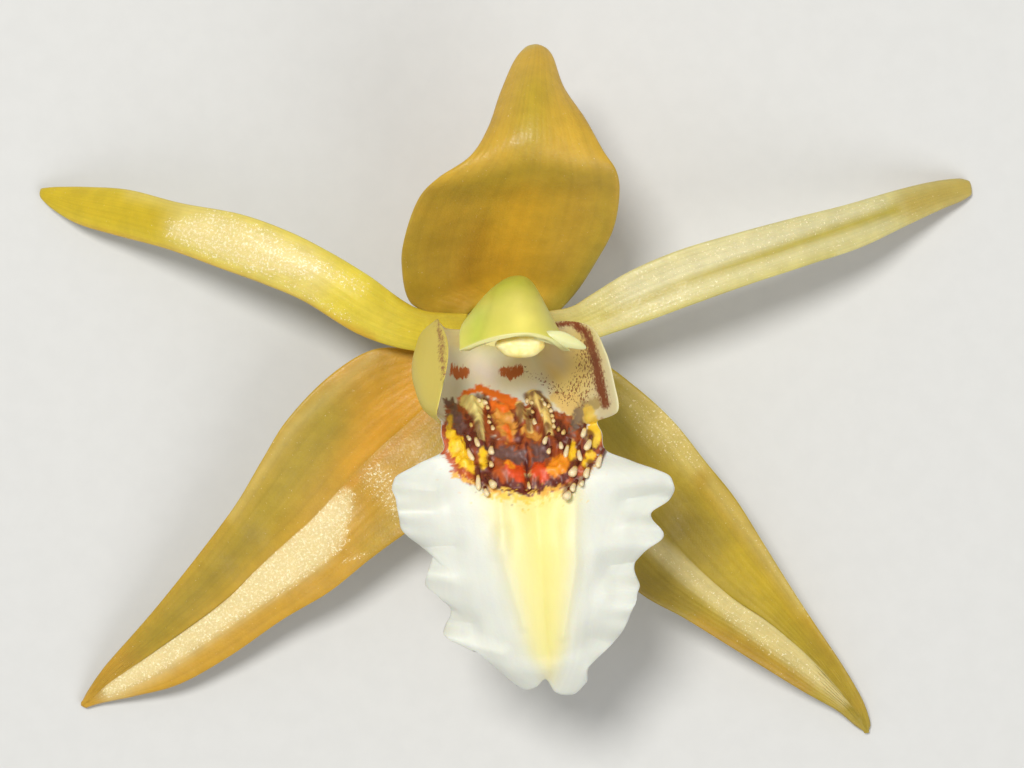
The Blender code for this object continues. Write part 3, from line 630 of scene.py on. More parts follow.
RIGHT_PETAL_LOOK = {
    "ground": PETAL_CREAM,
    "back": GREEN_OLIVE,
    "strokes": [
        # Painted sheen: a pale band along the middle of the petal, standing in for light reflected by the
        # skin.
        (PAINTED_PETAL_SHEEN, 0.85, 1.6, BOTH, [(12, 9.4, 1.4), (24, 13.4, 1.8), (36, 17.0, 1.2)]),
        (BRIGHT_YELLOW, 0.9, 0.7, BOTH, [(9, 6.6, 0.1), (18, 10.4, 0.4), (28, 13.9, 0.5), (38, 17.3, 0.6)]),
        (OCHRE, 0.8, 1.4, BOTH, [(40, 18.0, 1.6), (45.5, 19.8, 1.6)]),
        (YELLOW, 0.5, 1.2, BOTH, [(5, 5.6, 1.2), (9, 7.0, 0.6)]),
        (YELLOW, 0.5, 0.7, LAST, [(8, 4.2, 0.3), (20, 8.6, 0.3), (32, 12.8, 0.2)]),
    ],
    "sheen": [
        (1.0, 1.2, FIRST, [(8, 8.0, 1.0), (14, 10.8, 1.6), (24, 14.2, 1.6), (37, 18.0, 1.0)]),
        (0.9, 1.0, LAST, [(10, 6.0, 0.8), (22, 10.6, 1.1), (34, 14.4, 0.9), (42, 17.8, 0.4)]),
    ],
}
LEFT_LATERAL_LOOK = {
    "ground": OCHRE,
    "back": OLIVE,
    "strokes": [
        (OLIVE, 0.95, 3.0, FIRST, [(-19, -3.6, 3.0), (-26, -14.4, 2.8), (-36, -25.4, 1.8)]),
        (ORANGE_GLOW, 0.7, 3.0, FIRST, [(-9.5, -0.5, 2.2), (-13.0, -4.0, 2.0), (-16, -8.0, 0.4)]),
        (DARK_OLIVE_AND_PAINTED_SHADE, 0.45, 1.6, FIRST, [(-26, -15.0, 0.8), (-33, -22.5, 0.8), (-39, -28.4, 0.5)]),
        (PALE_STRAW_AND_PAINTED_SHEEN, 0.45, 1.0, FIRST, [(-14, 2.8, 0.3), (-22, -4.2, 0.4), (-28, -13.0, 0.3)]),
        (BURNT, 0.5, 1.8, FIRST, [(-9, 2.4, 0.8), (-7, -1.0, 0.8)]),
        (OLIVE, 0.6, 2.0, LAST, [(-7, -6.0, 1.5), (-10, -12.0, 1.6), (-14, -16.6, 1.0)]),
        (BURNT, 0.5, 0.6, LAST, [(-8, -2.6, 0.2), (-16.6, -10.6, 0.3), (-24, -18.0, 0.1)]),
        # Painted sheen: a pale silvery band below the midrib, standing in for light reflected by the skin.
        (PAINTED_SHEEN_SILVER, 0.7, 1.2, LAST, [(-17.6, -12.8, 1.4), (-20.5, -16.6, 2.2), (-26, -20.8, 1.8),
                                  (-34, -26.6, 1.6), (-40, -30.6, 1.0)]),
        (OCHRE, 0.9, 0.8, LAST, [(-15.4, -17.4, 0.3), (-21, -21.4, 1.0), (-27, -25.2, 0.9),
                                 (-33, -28.8, 0.3)]),
    ],
    "sheen": [
        (1.0, 0.9, LAST, [(-16.6, -11.2, 0.8), (-18.8, -14.8, 2.4), (-22.5, -18.2, 1.9), (-28, -22.2, 1.3),
                          (-35, -27.4, 1.0), (-40, -30.4, 0.6)]),
        (0.42, 1.6, LAST, [(-13.6, -9.4, 1.6), (-10.6, -12.4, 1.6)]),
        (0.5, 0.6, LAST, [(-14.6, -17.0, 0.2), (-16.6, -17.8, 0.3)]),
        (0.12, 2.0, FIRST, [(-16, 0.0, 1.0), (-22, -7.0, 1.0)]),
    ],
}
RIGHT_LATERAL_LOOK = {
    "ground": OLIVE,
    "back": OLIVE,
    "strokes": [
        (GREEN_OLIVE, 0.6, 2.0, BOTH, [(9.4, -0.6, 1.6), (11, -5.0, 1.6)]),
        # Painted sheen: a pale patch near the base of the upper half, standing in for light reflected by
        # the skin.
        (PAINTED_SHEEN_CREAM, 0.6, 1.8, FIRST, [(11.4, -1.2, 0.8), (15, -4.2, 1.8), (18.5, -8.2, 1.0)]),
        # Painted shade: the upper half next to the midrib, which the sepal's fold turns away from the
        # light.
        (PAINTED_SHADE_OLIVE, 0.85, 2.2, FIRST, [(12.6, -8.4, 1.6), (17, -13.0, 2.2), (20, -16.0, 1.0)]),
        (SEPAL_YELLOW, 0.95, 2.0, FIRST, [(23, -17.5, 1.4), (26, -20.6, 1.8), (29.5, -24.0, 1.0)]),
        (OCHRE, 0.8, 1.0, FIRST, [(19, -9.4, 0.8), (25, -16.6, 0.8), (31, -26.0, 0.8), (34.6, -32.0, 0.6)]),
        (OLIVE, 0.7, 1.0, FIRST, [(28.6, -24.2, 0.4), (34, -30.6, 0.8)]),
        # Painted sheen: a pale strip near the upper margin, standing in for light reflected by the skin.
        (PALE_STRAW_AND_PAINTED_SHEEN, 0.7, 0.9, FIRST, [(20, -10.0, 0.4), (26, -17.8, 0.6), (29, -22.4, 0.3)]),
        (DARK_OLIVE_AND_PAINTED_SHADE, 0.95, 1.3, LAST, [(12.4, -20.0, 1.6), (15.8, -21.6, 1.5), (18.5, -23.0, 0.6)]),
        (DEEP_OCHRE, 0.9, 1.2, LAST, [(18.6, -24.2, 0.9), (23, -26.6, 1.2), (29, -30.4, 0.8)]),
        # Painted sheen: a pale band just below the midrib, standing in for light reflected by the skin.
        (PAINTED_SHEEN_WHITE, 0.85, 0.7, LAST, [(13.6, -15.8, 0.9), (18, -19.2, 1.2), (23.6, -23.4, 1.4),
                                        (28.6, -27.4, 1.1), (33.0, -31.6, 0.5)]),
    ],
    "sheen": [
        (1.0, 1.6, FIRST, [(11.4, -1.4, 1.0), (15.0, -4.6, 2.6), (18.6, -8.0, 1.2)]),
        (0.8, 0.9, FIRST, [(20.6, -10.8, 0.5), (25.6, -17.2, 0.7), (29.6, -23.0, 0.5)]),
        (1.0, 0.8, LAST, [(14.0, -16.4, 0.6), (19, -20.6, 1.0), (25, -25.2, 1.5), (30.4, -29.4, 0.9)]),
        (0.5, 1.0, LAST, [(17, -22.6, 0.6), (24, -27.4, 0.8), (30, -31.0, 0.4)]),
    ],
}

HOOD_STROKES = [
    (HOOD_GREEN, 0.95, 2.0, BOTH, [(-1.2, 10.2, 1.0), (1.0, 10.2, 1.0)]),
    (HOOD_GREEN, 0.9, 1.2, BOTH, [(-3.4, 6.8, 0.8), (-3.6, 4.6, 0.8)]),
    (HOOD_CENTRE, 0.95, 1.6, BOTH, [(0.6, 8.4, 0.8), (1.0, 6.2, 1.2)]),
    (HOOD_SHADE, 0.8, 1.2, BOTH, [(4.0, 9.0, 0.3), (4.9, 6.6, 0.5)]),
    (HOOD_SHADE, 0.6, 0.5, BOTH, [(-1.7, 9.6, 0.0), (-2.4, 7.0, 0.1), (-3.2, 4.6, 0.0)]),
]


class Tree:
    """Short names for building a material's nodes."""

    def __init__(self, name):
        self.material = bpy.data.materials.new(name)
        self.material.use_nodes = True
        self.tree = self.material.node_tree
        self.shader = self.tree.nodes["Principled BSDF"]

    def link(self, source, target):
        """Joins a socket to an input, or writes a plain value into it."""
        if isinstance(source, bpy.types.NodeSocket):
            self.tree.links.new(source, target)
        else:
            target.default_value = source

    def node(self, kind, **settings):
        made = self.tree.nodes.new(kind)
        for key, value in settings.items():
            setattr(made, key, value)
        return made

    def attribute(self, name, output="Fac"):
        return self.node("ShaderNodeAttribute", attribute_name=name).outputs[output]

    def math(self, operation, first, second):
        made = self.node("ShaderNodeMath", operation=operation)
        self.link(first, made.inputs[0])
        self.link(second, made.inputs[1])
        return made.outputs[0]

    def mix(self, share, first, second, blend="MIX"):
        """A blend of two colours, each a socket or a display colour."""
        made = self.node("ShaderNodeMix", data_type="RGBA", blend_type=blend)
        self.link(share, made.inputs[0])
        for socket, value in ((made.inputs[6], first), (made.inputs[7], second)):
            self.link(value if isinstance(value, bpy.types.NodeSocket) else (*linear(value), 1.0), socket)
        return made.outputs[2]

    def ragged(self, value, noise, width):
        """A value with noise of this width added, for a ragged edge."""
        return self.math("ADD", value, self.math("MULTIPLY", self.math("SUBTRACT", noise, 0.5), width))

    def ramp(self, value, low, high, start=0.0, end=1.0):
        """Goes smoothly from start to end while the value goes from low to high."""
        made = self.node("ShaderNodeMapRange", interpolation_type="SMOOTHSTEP")
        for socket, given in zip(made.inputs[:5], (value, low, high, start, end)):
            self.link(given, socket)
        return made.outputs[0]

    def scaled(self, vector, scale):
        made = self.node("ShaderNodeMapping")
        self.link(vector, made.inputs["Vector"])
        made.inputs["Scale"].default_value = scale
        return made.outputs[0]

    def places(self, scale=(1.0, 1.0, 1.0)):
        """Positions on the piece in millimetres, scaled."""
        source = self.node("ShaderNodeTexCoord").outputs["Object"]
        return self.scaled(source, tuple(1000 * s for s in scale))

    def growth(self, scale):
        """Positions across and along the growing piece, scaled."""
        return self.scaled(self.node("ShaderNodeUVMap", uv_map="growth").outputs[0], scale)

    def noise(self, vector, scale, detail, rough, twist=0.0):
        made = self.node("ShaderNodeTexNoise")
        self.link(vector, made.inputs["Vector"])
        made.inputs["Scale"].default_value = scale
        made.inputs["Detail"].default_value = detail
        made.inputs["Roughness"].default_value = rough
        made.inputs["Distortion"].default_value = twist
        return made.outputs["Fac"]

    def cells(self, vector, scale):
        """Distance to the middle of the nearest cell of skin."""
        made = self.node("ShaderNodeTexVoronoi", feature="F1")
        self.link(vector, made.inputs["Vector"])
        made.inputs["Scale"].default_value = scale
        return made.outputs["Distance"]

    def bump(self, height, strength, distance, normal=None):
        made = self.node("ShaderNodeBump")
        self.link(height, made.inputs["Height"])
        made.inputs["Strength"].default_value = strength
        made.inputs["Distance"].default_value = distance
        if normal is not None:
            self.link(normal, made.inputs["Normal"])
        return made.outputs[0]

    def finish(self, colour, roughness, normal, flesh=0.2, flesh_depth=0.0012, coat=0.0):
        """Joins the shader's inputs, with some light carried through the flesh."""
        inputs = self.shader.inputs
        self.link(colour, inputs["Base Color"])
        self.link(roughness, inputs["Roughness"])
        self.link(normal, inputs["Normal"])
        inputs["Subsurface Weight"].default_value = flesh
        inputs["Subsurface Radius"].default_value = (1.0, 0.6, 0.25)
        inputs["Subsurface Scale"].default_value = flesh_depth
        inputs["Coat Weight"].default_value = coat
        inputs["Coat Roughness"].default_value = 0.35
        return self.material

    def finish_grained(self, colour, grain, rough, relief, **flesh):
        """Joins the shader's inputs, with a grain that gives the roughness and the relief."""
        roughness = self.ramp(grain, 0.2, 0.8, *rough)
        return self.finish(colour, roughness, self.bump(grain, *relief), **flesh)


def tepal_material(name):
    """Waxy skin of tiny swollen cells over painted flesh, with fine veins, painted sheen and painted
    glints.
    """
    tree = Tree(name)
    places = tree.places()
    paint = tree.attribute("paint", "Color")
    sheen = tree.attribute("sheen")
    veins = tree.noise(tree.growth((14.0, 1.6, 1.0)), 1.0, 3.0, 0.5, 0.3)
    vein_dark = tree.ramp(veins, 0.30, 0.62, 0.95, 1.03)
    mottle = tree.noise(places, 0.55, 4.0, 0.6)
    mottle_tone = tree.ramp(mottle, 0.3, 0.7, 0.93, 1.06)
    tone = tree.math("MULTIPLY", vein_dark, mottle_tone)
    toned = tree.mix(1.0, paint, tone, "MULTIPLY")
    grain = tree.noise(places, 4.2, 3.0, 0.75)
    tatter = tree.noise(tree.growth((30.0, 14.0, 1.0)), 1.0, 5.0, 0.75)
    patch = tree.ramp(tree.ragged(sheen, tatter, 1.1), 0.15, 0.85)
    bright = tree.ramp(grain, 0.42, 0.62)
    # Painted sheen and painted glints: pale grains mixed into the base colour, standing in for light
    # reflected by the skin's cells.
    painted_sheen = tree.math("MULTIPLY", patch, tree.ramp(bright, 0.0, 1.0, 0.36, 0.88))
    near_patch = tree.ramp(sheen, 0.02, 0.35)
    glint_level = tree.math("SUBTRACT", 0.69, tree.math("MULTIPLY", near_patch, 0.12))
    glint = tree.ramp(tree.math("SUBTRACT", grain, glint_level), 0.0, 0.05, 0.0, 0.8)
    colour = tree.mix(painted_sheen, toned, PAINTED_SHEEN_PATCH)
    colour = tree.mix(glint, colour, GLINT)
    roughness = tree.ramp(bright, 0.0, 1.0, 0.55, 0.38)
    bump = tree.bump(tree.cells(places, 4.5), 0.3, 0.00005)
    bump = tree.bump(grain, 0.25, 0.00008, bump)
    return tree.finish(colour, roughness, bump, flesh=0.18, coat=0.08)


def build_tepals():
    """The three sepals and the two petals."""
    add_blade("dorsal_sepal", DORSAL_SEPAL, SEPAL_THICK, DORSAL_CREASE, SEPAL_VEINS, DORSAL_LOOK,
              11, DORSAL_GRID)
    for name, stations, look, seed in (
        ("left_lateral_sepal", LEFT_LATERAL_SEPAL, LEFT_LATERAL_LOOK, 21),
        ("right_lateral_sepal", RIGHT_LATERAL_SEPAL, RIGHT_LATERAL_LOOK, 31),
    ):
        add_blade(name, stations, SEPAL_THICK, LATERAL_CREASE, SEPAL_VEINS,
                  look, seed, LATERAL_GRID)
    for name, stations, look, seed in (
        ("left_petal", LEFT_PETAL, LEFT_PETAL_LOOK, 41),
        ("right_petal", RIGHT_PETAL, RIGHT_PETAL_LOOK, 51),
    ):
        add_blade(name, stations, PETAL_THICK, PETAL_CREASE, PETAL_VEINS,
                  look, seed, PETAL_GRID)


# Paths that cover the whole crest.
CREST_AREA = [
    [(-6.3, -2.9, 0.5), (-5.4, -6.0, 1.3), (-3.8, -8.8, 1.3), (-1.0, -9.8, 1.0), (1.5, -10.3, 0.9),
     (4.5, -9.8, 1.0), (7.0, -7.6, 1.3), (8.6, -5.8, 0.8)],
    [(-4.8, -2.4, 0.8), (-2.0, -3.6, 1.8), (1.5, -4.6, 2.4), (5.0, -4.6, 1.6), (6.2, -5.0, 1.2)],
    [(-1.4, -7.2, 1.6), (4.6, -7.2, 1.8)],
    [(-6.4, -2.6, 0.5), (-4.2, -4.2, 1.3), (-2.6, -6.8, 1.1)],
    [(-6.9, -4.2, 0.3), (-6.8, -6.8, 0.4)],
    [(8.8, -3.6, 0.4), (9.2, -6.0, 0.4)],
]
# The crest's mosaic: (colour, softness, ragged width, paths), laid over each other in order.
CREST_LOOK = [
    (CREST_TAN, 0.9, 0.5, [[(4.6, -1.6, 0.7), (6.2, -2.2, 1.2), (7.0, -3.4, 0.9)]]),
    (CREST_BROWN, 0.6, 0.9, CREST_AREA),
    (CREST_DARK, 0.5, 1.3, [
        [(-4.6, -3.6, 0.3), (-4.5, -5.4, 0.5), (-3.0, -6.6, 0.6), (-2.6, -8.8, 0.5)],
        [(-3.0, -9.9, 0.4), (0.0, -10.4, 0.6), (1.5, -10.7, 0.6), (4.4, -10.2, 0.5), (6.4, -9.2, 0.4)],
        [(4.6, -4.2, 0.4), (5.2, -6.0, 0.6), (6.6, -7.2, 0.5), (8.4, -6.4, 0.3)],
        [(-0.4, -3.0, 0.3), (0.6, -4.6, 0.4), (0.9, -6.4, 0.3)],
    ]),
    (CREST_GOLD, 0.7, 0.9, [
        [(-1.0, -3.2, 0.9), (-0.4, -4.9, 0.9)],
        [(1.6, -5.0, 0.6), (2.4, -5.4, 0.5)],
    ]),
    (CREST_ORANGE, 0.55, 0.8, [
        [(-5.4, -1.8, 0.2), (-4.6, -1.2, 0.35), (-3.4, -0.7, 0.35), (-2.0, -1.1, 0.4), (-0.8, -1.8, 0.55),
         (0.4, -2.3, 0.5)],
        [(-2.0, -2.2, 0.3), (-0.6, -2.8, 0.4)],
        [(-0.6, -4.6, 0.3), (-0.2, -5.6, 0.3)],
    ]),
    (LEFT_KEEL_CREAM, 0.4, 0.35, [
        [(-4.6, -2.0, 0.7), (-3.7, -2.6, 0.8), (-3.5, -4.2, 0.5), (-3.3, -5.8, 0.45)],
        [(-2.9, -1.9, 0.4), (-3.4, -2.6, 0.4)],
    ]),
    (RIGHT_KEEL_CREAM, 0.4, 0.4, [
        [(2.1, -1.6, 0.8), (3.2, -2.4, 0.9), (3.6, -3.8, 0.5), (3.9, -5.4, 0.35)],
        [(0.7, -2.4, 0.4), (1.0, -4.0, 0.35)],
        [(1.7, -3.0, 0.35), (1.8, -4.8, 0.35)],
    ]),
    # The crest's dark maroon band, made greyer and lighter by a painted sheen.
    (MAROON_AND_PAINTED_SHEEN, 0.8, 1.0, [
        [(-6.4, -2.2, 0.5), (-5.8, -3.6, 0.8), (-4.8, -4.9, 0.5)],
        [(-2.6, -6.7, 0.4), (-1.0, -7.0, 0.7), (0.6, -7.6, 0.9)],
        [(2.4, -6.6, 0.6), (3.2, -7.2, 0.8), (2.6, -7.9, 0.6)],
    ]),
    # Painted shade: grey-brown at the right lobe's shoulder, where it meets the midlobe.
    (SHOULDER_PAINTED_SHADE, 0.9, 0.8, [[(8.6, -1.9, 0.5), (7.4, -2.4, 0.6), (6.6, -3.8, 0.6), (6.2, -5.0, 0.3)]]),
    (CREST_YELLOW, 0.55, 0.6, [
        [(-6.1, -5.4, 0.4), (-5.6, -6.4, 0.9), (-4.8, -7.6, 1.0), (-4.3, -8.8, 0.6)],
        [(-2.9, -7.2, 0.5), (-3.0, -8.4, 0.4)],
        [(6.0, -6.2, 0.5), (6.0, -7.2, 0.5)],
        [(7.9, -7.2, 0.5), (7.4, -8.2, 0.35)],
    ]),
    (EDGE_YELLOW, 0.6, 0.6, [
        [(-6.4, -3.6, 0.25), (-6.5, -5.4, 0.3)],
        [(7.9, -2.6, 0.5), (8.5, -4.2, 0.7), (8.2, -5.9, 0.6)],
    ]),
    (CREST_RUST, 0.6, 0.9, [
        [(-6.6, -6.9, 0.25), (-5.6, -8.6, 0.45), (-4.2, -9.3, 0.3)],
        [(-6.6, -5.8, 0.2), (-6.4, -7.4, 0.2)],
        [(-1.4, -8.6, 0.3), (-1.0, -9.8, 0.3)],
        [(6.8, -8.8, 0.5), (5.8, -9.8, 0.3)],
    ]),
    (FRONT_RED, 0.75, 0.6, [
        [(-0.2, -8.7, 0.6), (0.6, -9.2, 0.8)],
        [(2.8, -8.8, 0.8), (3.2, -9.5, 0.5)],
    ]),
    (FRONT_ORANGE, 0.7, 0.6, [
        [(-0.6, -8.4, 0.2), (0.0, -8.7, 0.25)],
        [(4.8, -8.3, 1.0), (4.2, -8.9, 0.6)],
    ]),
    (GROOVE_DARK, 0.4, 0.5, [[(1.5, -6.4, 0.14), (1.5, -8.2, 0.18), (1.5, -9.6, 0.10)]]),
    (FRONT_YELLOW, 0.9, 1.4, [[(-2.6, -11.1, 0.25), (1.4, -11.4, 0.3), (5.6, -11.0, 0.25)]]),
    (FRONT_AMBER, 0.5, 1.2, [
        [(-6.0, -9.1, 0.1), (-3.4, -10.2, 0.15), (-1.0, -11.0, 0.15)],
        [(3.0, -11.0, 0.15), (6.4, -10.0, 0.15), (8.4, -8.2, 0.1)],
    ]),
]
# Marks of the throat and of the side lobes, as paths.
THROAT_COMBS = [
    [(-6.2, 1.9, 0.5), (-5.7, 1.1, 0.75), (-5.0, 0.9, 0.7), (-4.7, 1.0, 0.5)],
    [(-0.7, 1.0, 0.6), (-0.1, 0.9, 0.8), (0.6, 1.1, 0.7), (0.9, 1.8, 0.3)],
]
SIDE_BAND_RIGHT = [[(4.2, 5.9, 0.25), (6.2, 6.2, 0.4), (7.5, 5.2, 0.45), (8.2, 3.6, 0.5), (8.7, 1.8, 0.5),
                    (9.0, 0.0, 0.55), (9.6, -2.0, 0.45)]]
SIDE_BAND_LEFT = [[(-6.6, 1.8, 0.3), (-7.0, -0.4, 0.6), (-7.3, -2.4, 0.8)]]
LOBE_SPECKS = [[(7.4, 3.8, 0.7), (8.0, 1.0, 1.2), (7.0, -0.8, 1.4), (5.4, -1.2, 0.8), (3.2, 0.4, 0.2)],
               [(1.2, 1.4, 0.1), (2.0, 0.6, 0.1), (3.4, 0.2, 0.3)]]
OUTER_BAND = [[(-7.4, 6.4, 0.1), (-7.0, 4.6, 0.35), (-6.8, 2.4, 0.3), (-6.8, 0.4, 0.1)]]
# Keels, swellings and grooves of the lip: (height, softness, path).
CREST_RELIEF = [
    (1.1, 0.7, [(-4.1, -2.2, 0.4), (-3.5, -4.0, 0.4), (-3.4, -6.2, 0.3)]),
    (1.0, 0.7, [(2.4, -1.8, 0.5), (3.3, -3.6, 0.4), (3.9, -6.0, 0.3)]),
    (0.7, 0.6, [(0.7, -2.8, 0.2), (1.2, -4.6, 0.3), (1.5, -7.0, 0.2)]),
    (0.6, 0.8, [(-0.6, -8.8, 0.7), (0.4, -9.4, 0.5)]),
    (0.6, 0.8, [(3.0, -9.0, 0.7), (4.6, -8.6, 0.6)]),
    (0.5, 0.8, [(-5.4, -6.2, 0.5), (-4.6, -8.2, 0.5)]),
    (0.7, 0.8, [(8.2, -3.6, 0.4), (7.9, -6.0, 0.5)]),
    (-0.4, 0.4, [(1.5, -6.0, 0.1), (1.5, -10.6, 0.1)]),
    (0.25, 0.8, [(-1.2, -11.0, 0.2), (-0.6, -18.0, 0.2), (1.2, -24.0, 0.1)]),
    (0.25, 0.8, [(6.2, -11.0, 0.2), (6.2, -18.0, 0.2), (5.0, -25.0, 0.1)]),
    (-0.35, 1.2, [(2.4, -12.0, 1.0), (3.0, -20.0, 0.8), (3.6, -27.0, 0.3)]),
]
# Folds of the midlobe's thin flesh, most of them from the notches of its margin inwards.
LIP_FOLDS = [
    (-0.9, 0.9, [(-11.4, -10.7, 0.3), (-7.6, -10.8, 0.0)]),
    (0.7, 0.9, [(-11.6, -12.6, 0.4), (-8.0, -12.9, 0.0)]),
    (-1.2, 0.9, [(-9.4, -16.1, 0.4), (-5.7, -16.1, 0.0)]),
    (0.8, 0.9, [(-8.8, -18.6, 0.5), (-6.0, -19.6, 0.0)]),
    (-1.0, 0.8, [(-6.6, -23.4, 0.4), (-4.0, -23.8, 0.0)]),
    (0.9, 0.6, [(-6.3, -25.4, 0.2), (-3.6, -26.2, 0.2), (-1.1, -26.8, 0.1)]),
    (-1.0, 0.9, [(15.2, -10.6, 0.4), (11.3, -11.4, 0.0)]),
    (0.8, 0.9, [(15.0, -13.2, 0.4), (11.6, -14.0, 0.0)]),
    (-1.2, 0.9, [(13.0, -17.6, 0.4), (9.8, -18.0, 0.0)]),
    (0.8, 0.9, [(12.4, -20.6, 0.5), (9.4, -21.0, 0.0)]),
    (-1.0, 0.9, [(10.6, -26.3, 0.3), (7.8, -25.2, 0.0)]),
    (0.5, 0.6, [(-0.9, -14.8, 0.2), (-1.1, -16.6, 0.2)]),
]
# Club-shaped warts of the crest: foot, tip, half width, and how much cream they hold.
CLUBS = [
    ((-4.75, -4.9), (-4.3, -5.5), 0.20, 0.9), ((-4.6, -5.8), (-4.0, -7.3), 0.23, 0.8),
    ((-3.7, -4.9), (-3.4, -6.0), 0.22, 0.7), ((-3.4, -8.4), (-3.35, -10.2), 0.24, 0.9),
    ((-2.3, -7.4), (-2.1, -8.1), 0.22, 0.6), ((-1.95, -5.9), (-2.0, -6.8), 0.28, 1.0),
    ((-2.5, -9.4), (-1.9, -10.1), 0.34, 0.7), ((-2.7, -10.3), (-2.5, -11.0), 0.24, 0.9),
    ((-2.1, -3.9), (-1.9, -4.5), 0.20, 0.7), ((1.6, -9.4), (1.75, -10.3), 0.16, 0.6),
    ((1.75, -3.2), (1.7, -4.7), 0.24, 0.5), ((2.2, -3.1), (2.35, -3.9), 0.20, 0.8),
    ((0.75, -2.5), (0.9, -4.1), 0.28, 0.5), ((4.8, -5.6), (4.9, -6.3), 0.22, 0.9),
    ((5.8, -5.5), (5.4, -7.0), 0.22, 1.0), ((6.7, -6.2), (6.85, -7.4), 0.22, 1.0),
    ((7.3, -4.0), (7.1, -5.1), 0.25, 1.0), ((7.9, -5.2), (7.45, -6.3), 0.29, 1.0),
    ((9.2, -6.5), (8.65, -8.0), 0.25, 0.9), ((7.9, -8.0), (7.45, -9.1), 0.26, 0.9),
    ((6.5, -7.9), (6.0, -8.9), 0.38, 0.8), ((6.5, -9.6), (6.1, -10.5), 0.25, 0.9),
    ((7.2, -9.5), (6.95, -10.0), 0.20, 0.9), ((5.75, -10.5), (5.4, -11.2), 0.36, 0.9),
    ((3.75, -4.9), (3.3, -5.8), 0.22, 0.8), ((3.9, -6.3), (3.7, -6.8), 0.20, 0.7),
    ((-3.4, -1.4), (-3.2, -1.7), 0.18, 0.7), ((-2.8, -1.5), (-2.6, -1.9), 0.22, 0.9),
    ((-2.5, -2.0), (-2.4, -2.4), 0.17, 0.6), ((-2.4, -2.9), (-2.3, -3.3), 0.17, 0.5),
    ((-2.3, -3.4), (-2.2, -3.8), 0.17, 0.6), ((-4.2, -3.7), (-4.0, -4.2), 0.18, 0.4),
    ((1.4, -1.4), (1.5, -1.8), 0.19, 0.7), ((2.0, -1.5), (2.1, -1.9), 0.19, 0.6),
    ((2.5, -1.3), (2.6, -1.7), 0.19, 0.8), ((2.85, -1.2), (2.9, -1.6), 0.18, 0.7),
    ((3.2, -1.7), (3.3, -2.1), 0.19, 0.8), ((3.5, -1.9), (3.6, -2.3), 0.18, 0.6),
    ((3.8, -2.3), (3.9, -2.7), 0.19, 0.9), ((3.95, -2.8), (4.05, -3.2), 0.18, 0.6),
    ((4.05, -3.3), (4.15, -3.7), 0.18, 0.7), ((4.2, -3.8), (4.25, -4.3), 0.18, 0.6),
    ((4.9, -4.0), (4.7, -4.6), 0.2, 0.3), ((5.2, -4.4), (5.1, -4.9), 0.2, 0.5),
    ((2.0, -2.4), (2.1, -2.8), 0.16, 0.5), ((3.0, -2.6), (3.1, -3.1), 0.17, 0.7),
]
# A club of the usual half width is about as tall as this, and a narrower one is shorter.
CLUB_HEIGHT = 1.3
USUAL_HALF = 0.25
CLUB_SWELL = 1.15
CLUB_STRETCH = 1.25
CLUB_NECK = 0.62
CLUB_CAP_START = 0.78
# The midlobe's scalloped margin and soft folds, the crest's lumps, and the slow swells of the whole lip.
SCALLOP = 0.45
FOLD_SOFTNESS = 2.3
LUMP_HEIGHT = 0.55
SWELL_HEIGHT = 0.08


def lip_drawn(rows, columns):
    """Drawn grid of the lip, smooth through its seven rails."""
    rails = np.array([curve_through([s[i] for s in LIP], rows) for i in range(7)])
    return np.array([curve_through(rails[:, row], columns) for row in range(rows)])


def lip_ruffle(drawn):
    """Heights of the midlobe's ruffles, which grow towards its margin."""
    across = np.linspace(-1, 1, drawn.shape[1])[None, :]
    up = drawn[..., 1]
    outward = np.clip((np.abs(across) - 0.25) / 0.75, 0, 1) ** 1.6
    on_midlobe = smooth_step(-7.0, -9.5, up)
    left_wave = np.cos((up + 12.5) * 2 * math.pi / 7.2)
    right_wave = np.cos((up + 15.6) * 2 * math.pi / 6.6)
    side = smooth_step(-0.2, 0.2, across)
    wave = left_wave * (1 - side) + right_wave * side
    small = 0.5 * np.sin(up * 3.1 + 2.0 * across) * np.abs(across) ** 4
    return on_midlobe * outward * (0.75 * wave + small * 0.5)


def field(points, paths, soft):
    """The strongest of several soft strokes at each point."""
    return np.max([stroke(points, path, soft) for path in paths], axis=0)


def lip_paint(drawn, across, along):
    """Linear colours of the lip's front and back."""
    paint = painted(drawn, LIP_GROUND, [
        (LIP_YELLOW_WASH, 0.85, 1.8, BOTH, [(1.6, -10.4, 5.4), (2.6, -17.0, 4.2), (3.2, -25.0, 2.4)]),
        (LIP_PALE_YELLOW, 0.9, 1.3, BOTH, [(2.0, -11.0, 4.4), (2.8, -17.6, 3.0), (3.4, -26.0, 1.5)]),
        (LIP_YELLOW, 0.75, 1.8, BOTH, [(2.8, -10.5, 2.0), (3.1, -16.0, 1.6), (3.5, -25.0, 0.8),
                                       (3.8, -29.0, 0.3)]),
        (THROAT_YELLOW, 0.7, 1.4, BOTH, [(-5, 4.0, 1.0), (-1, 3.6, 1.0), (3.0, 3.4, 0.8)]),
        (LIP_CREAM, 0.9, 1.0, BOTH, [(-4, 1.6, 1.4), (-2.5, 0.6, 1.8), (1.0, 1.0, 1.8)]),
        (PINK_WHITE, 0.9, 1.0, BOTH, [(-3.4, 1.2, 0.8), (-2.2, 0.6, 1.0)]),
        (LOBE_TAN, 0.95, 1.4, BOTH, [(4.0, 1.6, 0.6), (6.0, -0.6, 2.0), (7.2, 1.5, 1.6), (7.0, 4.5, 1.4)]),
    ])
    paint = crest_paint(drawn, paint, smooth_step(1.0, 0.985, np.abs(across)) * np.ones((len(along), 1)))
    lobes = smooth_step(0.36, 0.30, along) * smooth_step(0.35, 0.75, np.abs(across))
    paint = covered(paint, LOBE_TAN, lobes * 0.55)
    cream = np.broadcast_to(linear(LIP_CREAM), paint.shape)
    olive_share = np.broadcast_to(smooth_step(0.48, 0.30, along), paint.shape[:2])
    return paint, covered(cream, LOBE_OLIVE, olive_share)


